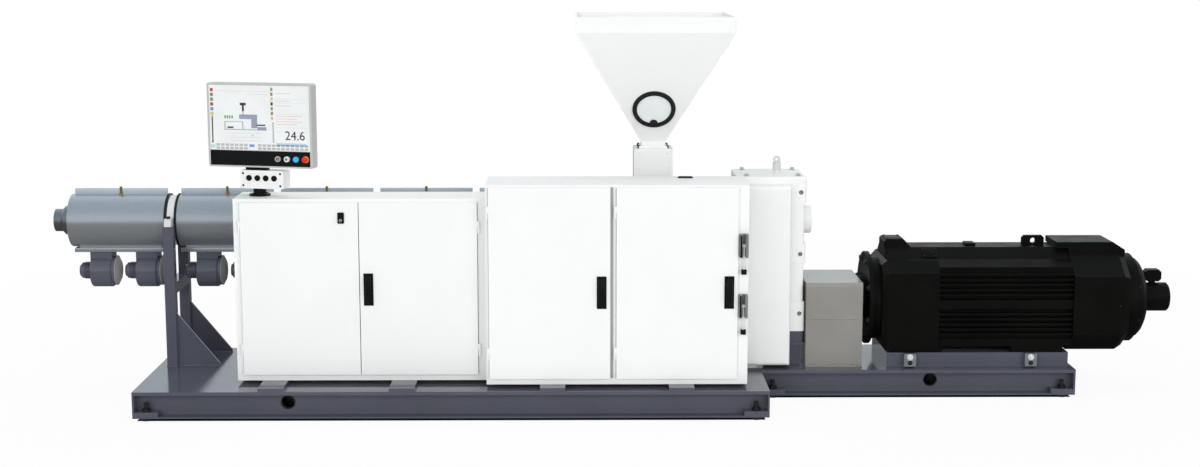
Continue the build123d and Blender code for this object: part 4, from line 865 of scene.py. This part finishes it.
# Motor: a finned iron frame with sheet air hoods, all in black enamel. Its flange is held by blackened
# hexagon bolts.
motor_black = paint("motor_black", (0.0046, 0.0042, 0.0036), 0.42, 0.2, 0.15, 200.0, 0.07)
coat(motor_black, "motor_frame", "motor_terminal_box", "motor_fan_cowl", "motor_end_bell", "motor_encoder")
guard_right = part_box("coupling_guard")[1].x
shaft_rise, flange_gap, flange_circle = 0.530, 0.039, 0.245
spots = bolt_circle(guard_right + flange_gap, shaft_rise, flange_circle, left)
fasten(hex_bolt(0.024, 0.015), spots, "motor_flange_bolts", "motor_frame")

# Terminal box lid: a pressed plate in the black of the motor, on the cable box at its drive end, held
# by four screws.
low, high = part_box("motor_terminal_box")
lid_left, lid_right, lid_foot, lid_top = low.x + 0.012, high.x - 0.040, high.z - 0.001, high.z + 0.005
lid_front, lid_back, lid_screw = low.y + 0.008, high.y - 0.008, 0.012
lid = rounded_block((lid_left, lid_front, lid_foot), (lid_right, lid_back, lid_top), 0.002)
finish_piece(lid, "terminal_box_lid", motor_black, "motor_terminal_box")
spots = [((x, y, lid_top), up) for x in (lid_left + lid_screw, lid_right - lid_screw)
         for y in (lid_front + lid_screw, lid_back - lid_screw)]
fasten(dome_screw(0.006, 0.004), spots, "terminal_lid_screws", "motor_terminal_box")

# Hatch and plug on the cable ridge: a small screwed lid on its front slope and a rounded plug on top,
# both in the black of the motor.
ridge_foot, ridge_top, ridge_run, ridge_out = 0.786, 0.846, 0.075, 0.1275
hatch_x, plug_x = low.x + 0.2605, low.x + 0.520
hatch_middle = Vector((hatch_x, axis_y - ridge_out, (ridge_foot + ridge_top) / 2))
slope_out = Vector((0, ridge_foot - ridge_top, ridge_run)).normalized()
slope_up = Vector((0, slope_out.z, -slope_out.y))
hatch_half, hatch_tall, hatch_top, screw_across, screw_along = 0.045, 0.037, 0.005, 0.036, 0.028
hatch = rounded_block((-hatch_half, -hatch_tall, -0.001), (hatch_half, hatch_tall, hatch_top), 0.002)
set_out(hatch, [(hatch_middle, slope_out)], "ridge_hatch", motor_black, "motor_frame")
spots = [(hatch_middle + Vector((x, 0, 0)) + slope_up * rise + slope_out * hatch_top, slope_out)
         for x in (-screw_across, screw_across) for rise in (-screw_along, screw_along)]
fasten(dome_screw(0.005, 0.003), spots, "ridge_hatch_screws", "motor_frame")
plug_half, plug_reach, plug_top = 0.031, 0.045, ridge_top + 0.016
plug = rounded_block((plug_x - plug_half, axis_y - plug_reach, ridge_top - 0.001),
                     (plug_x + plug_half, axis_y + plug_reach, plug_top), 0.006, 3)
finish_piece(plug, "ridge_plug", motor_black, "motor_frame")

# Cowl and bell screws: a button head on each side of the fan cowl, and hexagon heads round the rim of
# the end bell.
low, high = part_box("motor_fan_cowl")
cowl_right, cowl_inset, bell_reach, bell_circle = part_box("motor_frame")[1].x + 0.292, 0.022, 0.080, 0.249
spots = [((cowl_right - cowl_inset, y, shaft_rise), direction)
         for y, direction in ((low.y, front), (high.y, back))]
fasten(dome_screw(0.007, 0.004), spots, "cowl_screws", "motor_fan_cowl")
rim_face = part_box("motor_end_bell")[1].x - bell_reach
spots = bolt_circle(rim_face, shaft_rise, bell_circle, right)
fasten(hex_bolt(0.012, 0.009), spots, "bell_bolts", "motor_end_bell")


# The stage: a pale floor that is white to the camera but keeps the shadow and shows dark warm grey to
# glossy rays, as painted shade in the reflections; near-black patches under the bases as painted shade; a
# white room and three soft lamps. None of it belongs to the machine.
def combine(tree, operation, first, second):
    node = tree.nodes.new("ShaderNodeMath")
    node.operation = operation
    tree.links.new(first, node.inputs[0])
    tree.links.new(second, node.inputs[1])
    return node.outputs["Value"]


def seen_directly(tree, rays):
    return combine(tree, "MAXIMUM", rays.outputs["Is Camera Ray"], rays.outputs["Is Transmission Ray"])


def mix_shaders(tree, factor, first, second):
    mix = tree.nodes.new("ShaderNodeMixShader")
    tree.links.new(factor, mix.inputs["Fac"])
    tree.links.new(first, mix.inputs[1])
    tree.links.new(second, mix.inputs[2])
    return mix.outputs["Shader"]


floor_size, floor_drop, patch_drop = 400, 0.0006, 0.0003


def stage_floor():
    deselect()
    bpy.ops.mesh.primitive_plane_add(size=floor_size, location=(0, 0, -floor_drop))
    floor = bpy.context.object
    floor.name = "floor"
    fix_place()
    material, tree, shader, place = new_material("floor_white")
    shader.inputs["Roughness"].default_value = 0.9
    shader.inputs["Specular IOR Level"].default_value = 0.0
    rays = tree.nodes.new("ShaderNodeLightPath")
    # To glossy rays the floor turns dark warm grey: painted shade for the floor seen in the metal's
    # reflections.
    tint(tree, shader, rays.outputs["Is Glossy Ray"], (0.86, 0.86, 0.86), (0.20, 0.195, 0.19), 0.0, 1.0)
    glow = tree.nodes.new("ShaderNodeEmission")
    glow.inputs["Strength"].default_value = 1.0
    distance = tree.nodes.new("ShaderNodeVectorMath")
    distance.operation = "LENGTH"
    tree.links.new(place.outputs["Object"], distance.inputs[0])
    whiteness = spread(tree, distance.outputs["Value"], 0.94, 1.0, 2.5, 7.0)
    share = combine(tree, "MULTIPLY", seen_directly(tree, rays), whiteness)
    surface = mix_shaders(tree, share, shader.outputs["BSDF"], glow.outputs["Emission"])
    tree.links.new(surface, tree.nodes["Material Output"].inputs["Surface"])
    floor.data.materials.append(material)


def shade_patch(base):
    low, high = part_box(base)
    margin = 0.012
    middle = (low + high) / 2
    deselect()
    bpy.ops.mesh.primitive_plane_add(size=1, location=(middle.x, middle.y, -patch_drop))
    patch = bpy.context.object
    patch.scale = (high.x - low.x - 2 * margin, high.y - low.y - 2 * margin, 1)
    patch.name = base + "_shade"
    fix_place()
    material, tree, shader, place = new_material(base + "_shade")
    # Near-black: painted shade for the floor under the base.
    tint(tree, shader, noise(tree, place, 6.0), (0.016, 0.016, 0.018), (0.024, 0.024, 0.026))
    shader.inputs["Roughness"].default_value = 0.9
    patch.data.materials.append(material)


def stage_world():
    world = bpy.data.worlds.new("white_room")
    bpy.context.scene.world = world
    world.use_nodes = True
    tree = world.node_tree
    base = tree.nodes["Background"]
    base.inputs["Strength"].default_value = 0.70
    bright = tree.nodes.new("ShaderNodeBackground")
    place = tree.nodes.new("ShaderNodeTexCoord")
    split = tree.nodes.new("ShaderNodeSeparateXYZ")
    tree.links.new(place.outputs["Generated"], split.inputs["Vector"])
    room = blend_colours(tree, split.outputs["Z"], (1.0, 1.0, 1.0), (0.50, 0.55, 0.60), 0.0, 0.9)
    tree.links.new(room, base.inputs["Color"])
    tilt = tree.nodes.new("ShaderNodeMath")
    tilt.operation = "MULTIPLY_ADD"
    tilt.inputs[1].default_value = -0.5
    tree.links.new(split.outputs["Y"], tilt.inputs[0])
    tree.links.new(split.outputs["Z"], tilt.inputs[2])
    sky = blend_colours(tree, tilt.outputs["Value"], (0.86, 0.95, 1.0), (0.44, 0.55, 0.65), 0.55, 1.05)
    tree.links.new(sky, bright.inputs["Color"])
    rays = tree.nodes.new("ShaderNodeLightPath")
    backdrop = tree.nodes.new("ShaderNodeBackground")
    backdrop.inputs["Color"].default_value = (1.0, 1.0, 1.0, 1)
    mirrored = mix_shaders(tree, rays.outputs["Is Glossy Ray"], base.outputs["Background"],
                           bright.outputs["Background"])
    surface = mix_shaders(tree, seen_directly(tree, rays), mirrored, backdrop.outputs["Background"])
    tree.links.new(surface, tree.nodes["World Output"].inputs["Surface"])


def lamp(name, place, target, size, power):
    data = bpy.data.lights.new(name, "AREA")
    data.shape = "RECTANGLE"
    data.size, data.size_y = size
    data.energy = power
    source = bpy.data.objects.new(name, data)
    bpy.context.scene.collection.objects.link(source)
    source.location = place
    source.visible_glossy = False
    source.rotation_euler = (Vector(target) - Vector(place)).to_track_quat("-Z", "Y").to_euler()


stage_floor()
shade_patch("main_base_rails")
shade_patch("motor_base_rails")
stage_world()
lamp("top", (0, 0.5, 9.0), (0, 0, 0), (10, 5), 300)
lamp("key", (-6.0, -17.0, 6.5), (0, 0, 0.8), (12, 8), 880)
lamp("fill", (9.0, -16.0, 4.5), (0.8, 0, 0.9), (12, 8), 930)

# The camera stands in front of the machine, a little above the hopper, and looks slightly down. It
# was solved from the parallel edges of the bases and cabinets.
camera_data = bpy.data.cameras.new("camera")
camera_data.sensor_width = 36.0
camera_data.lens = 54.0
camera_data.clip_end = 1000.0
camera = bpy.data.objects.new("camera", camera_data)
bpy.context.scene.collection.objects.link(camera)
camera.location = (-0.18184, -10.3359, 2.54546)
camera.rotation_euler = (radians(90 - 8.795), 0, radians(-0.51))
bpy.context.scene.camera = camera
bpy.context.scene.view_settings.view_transform = "Standard"
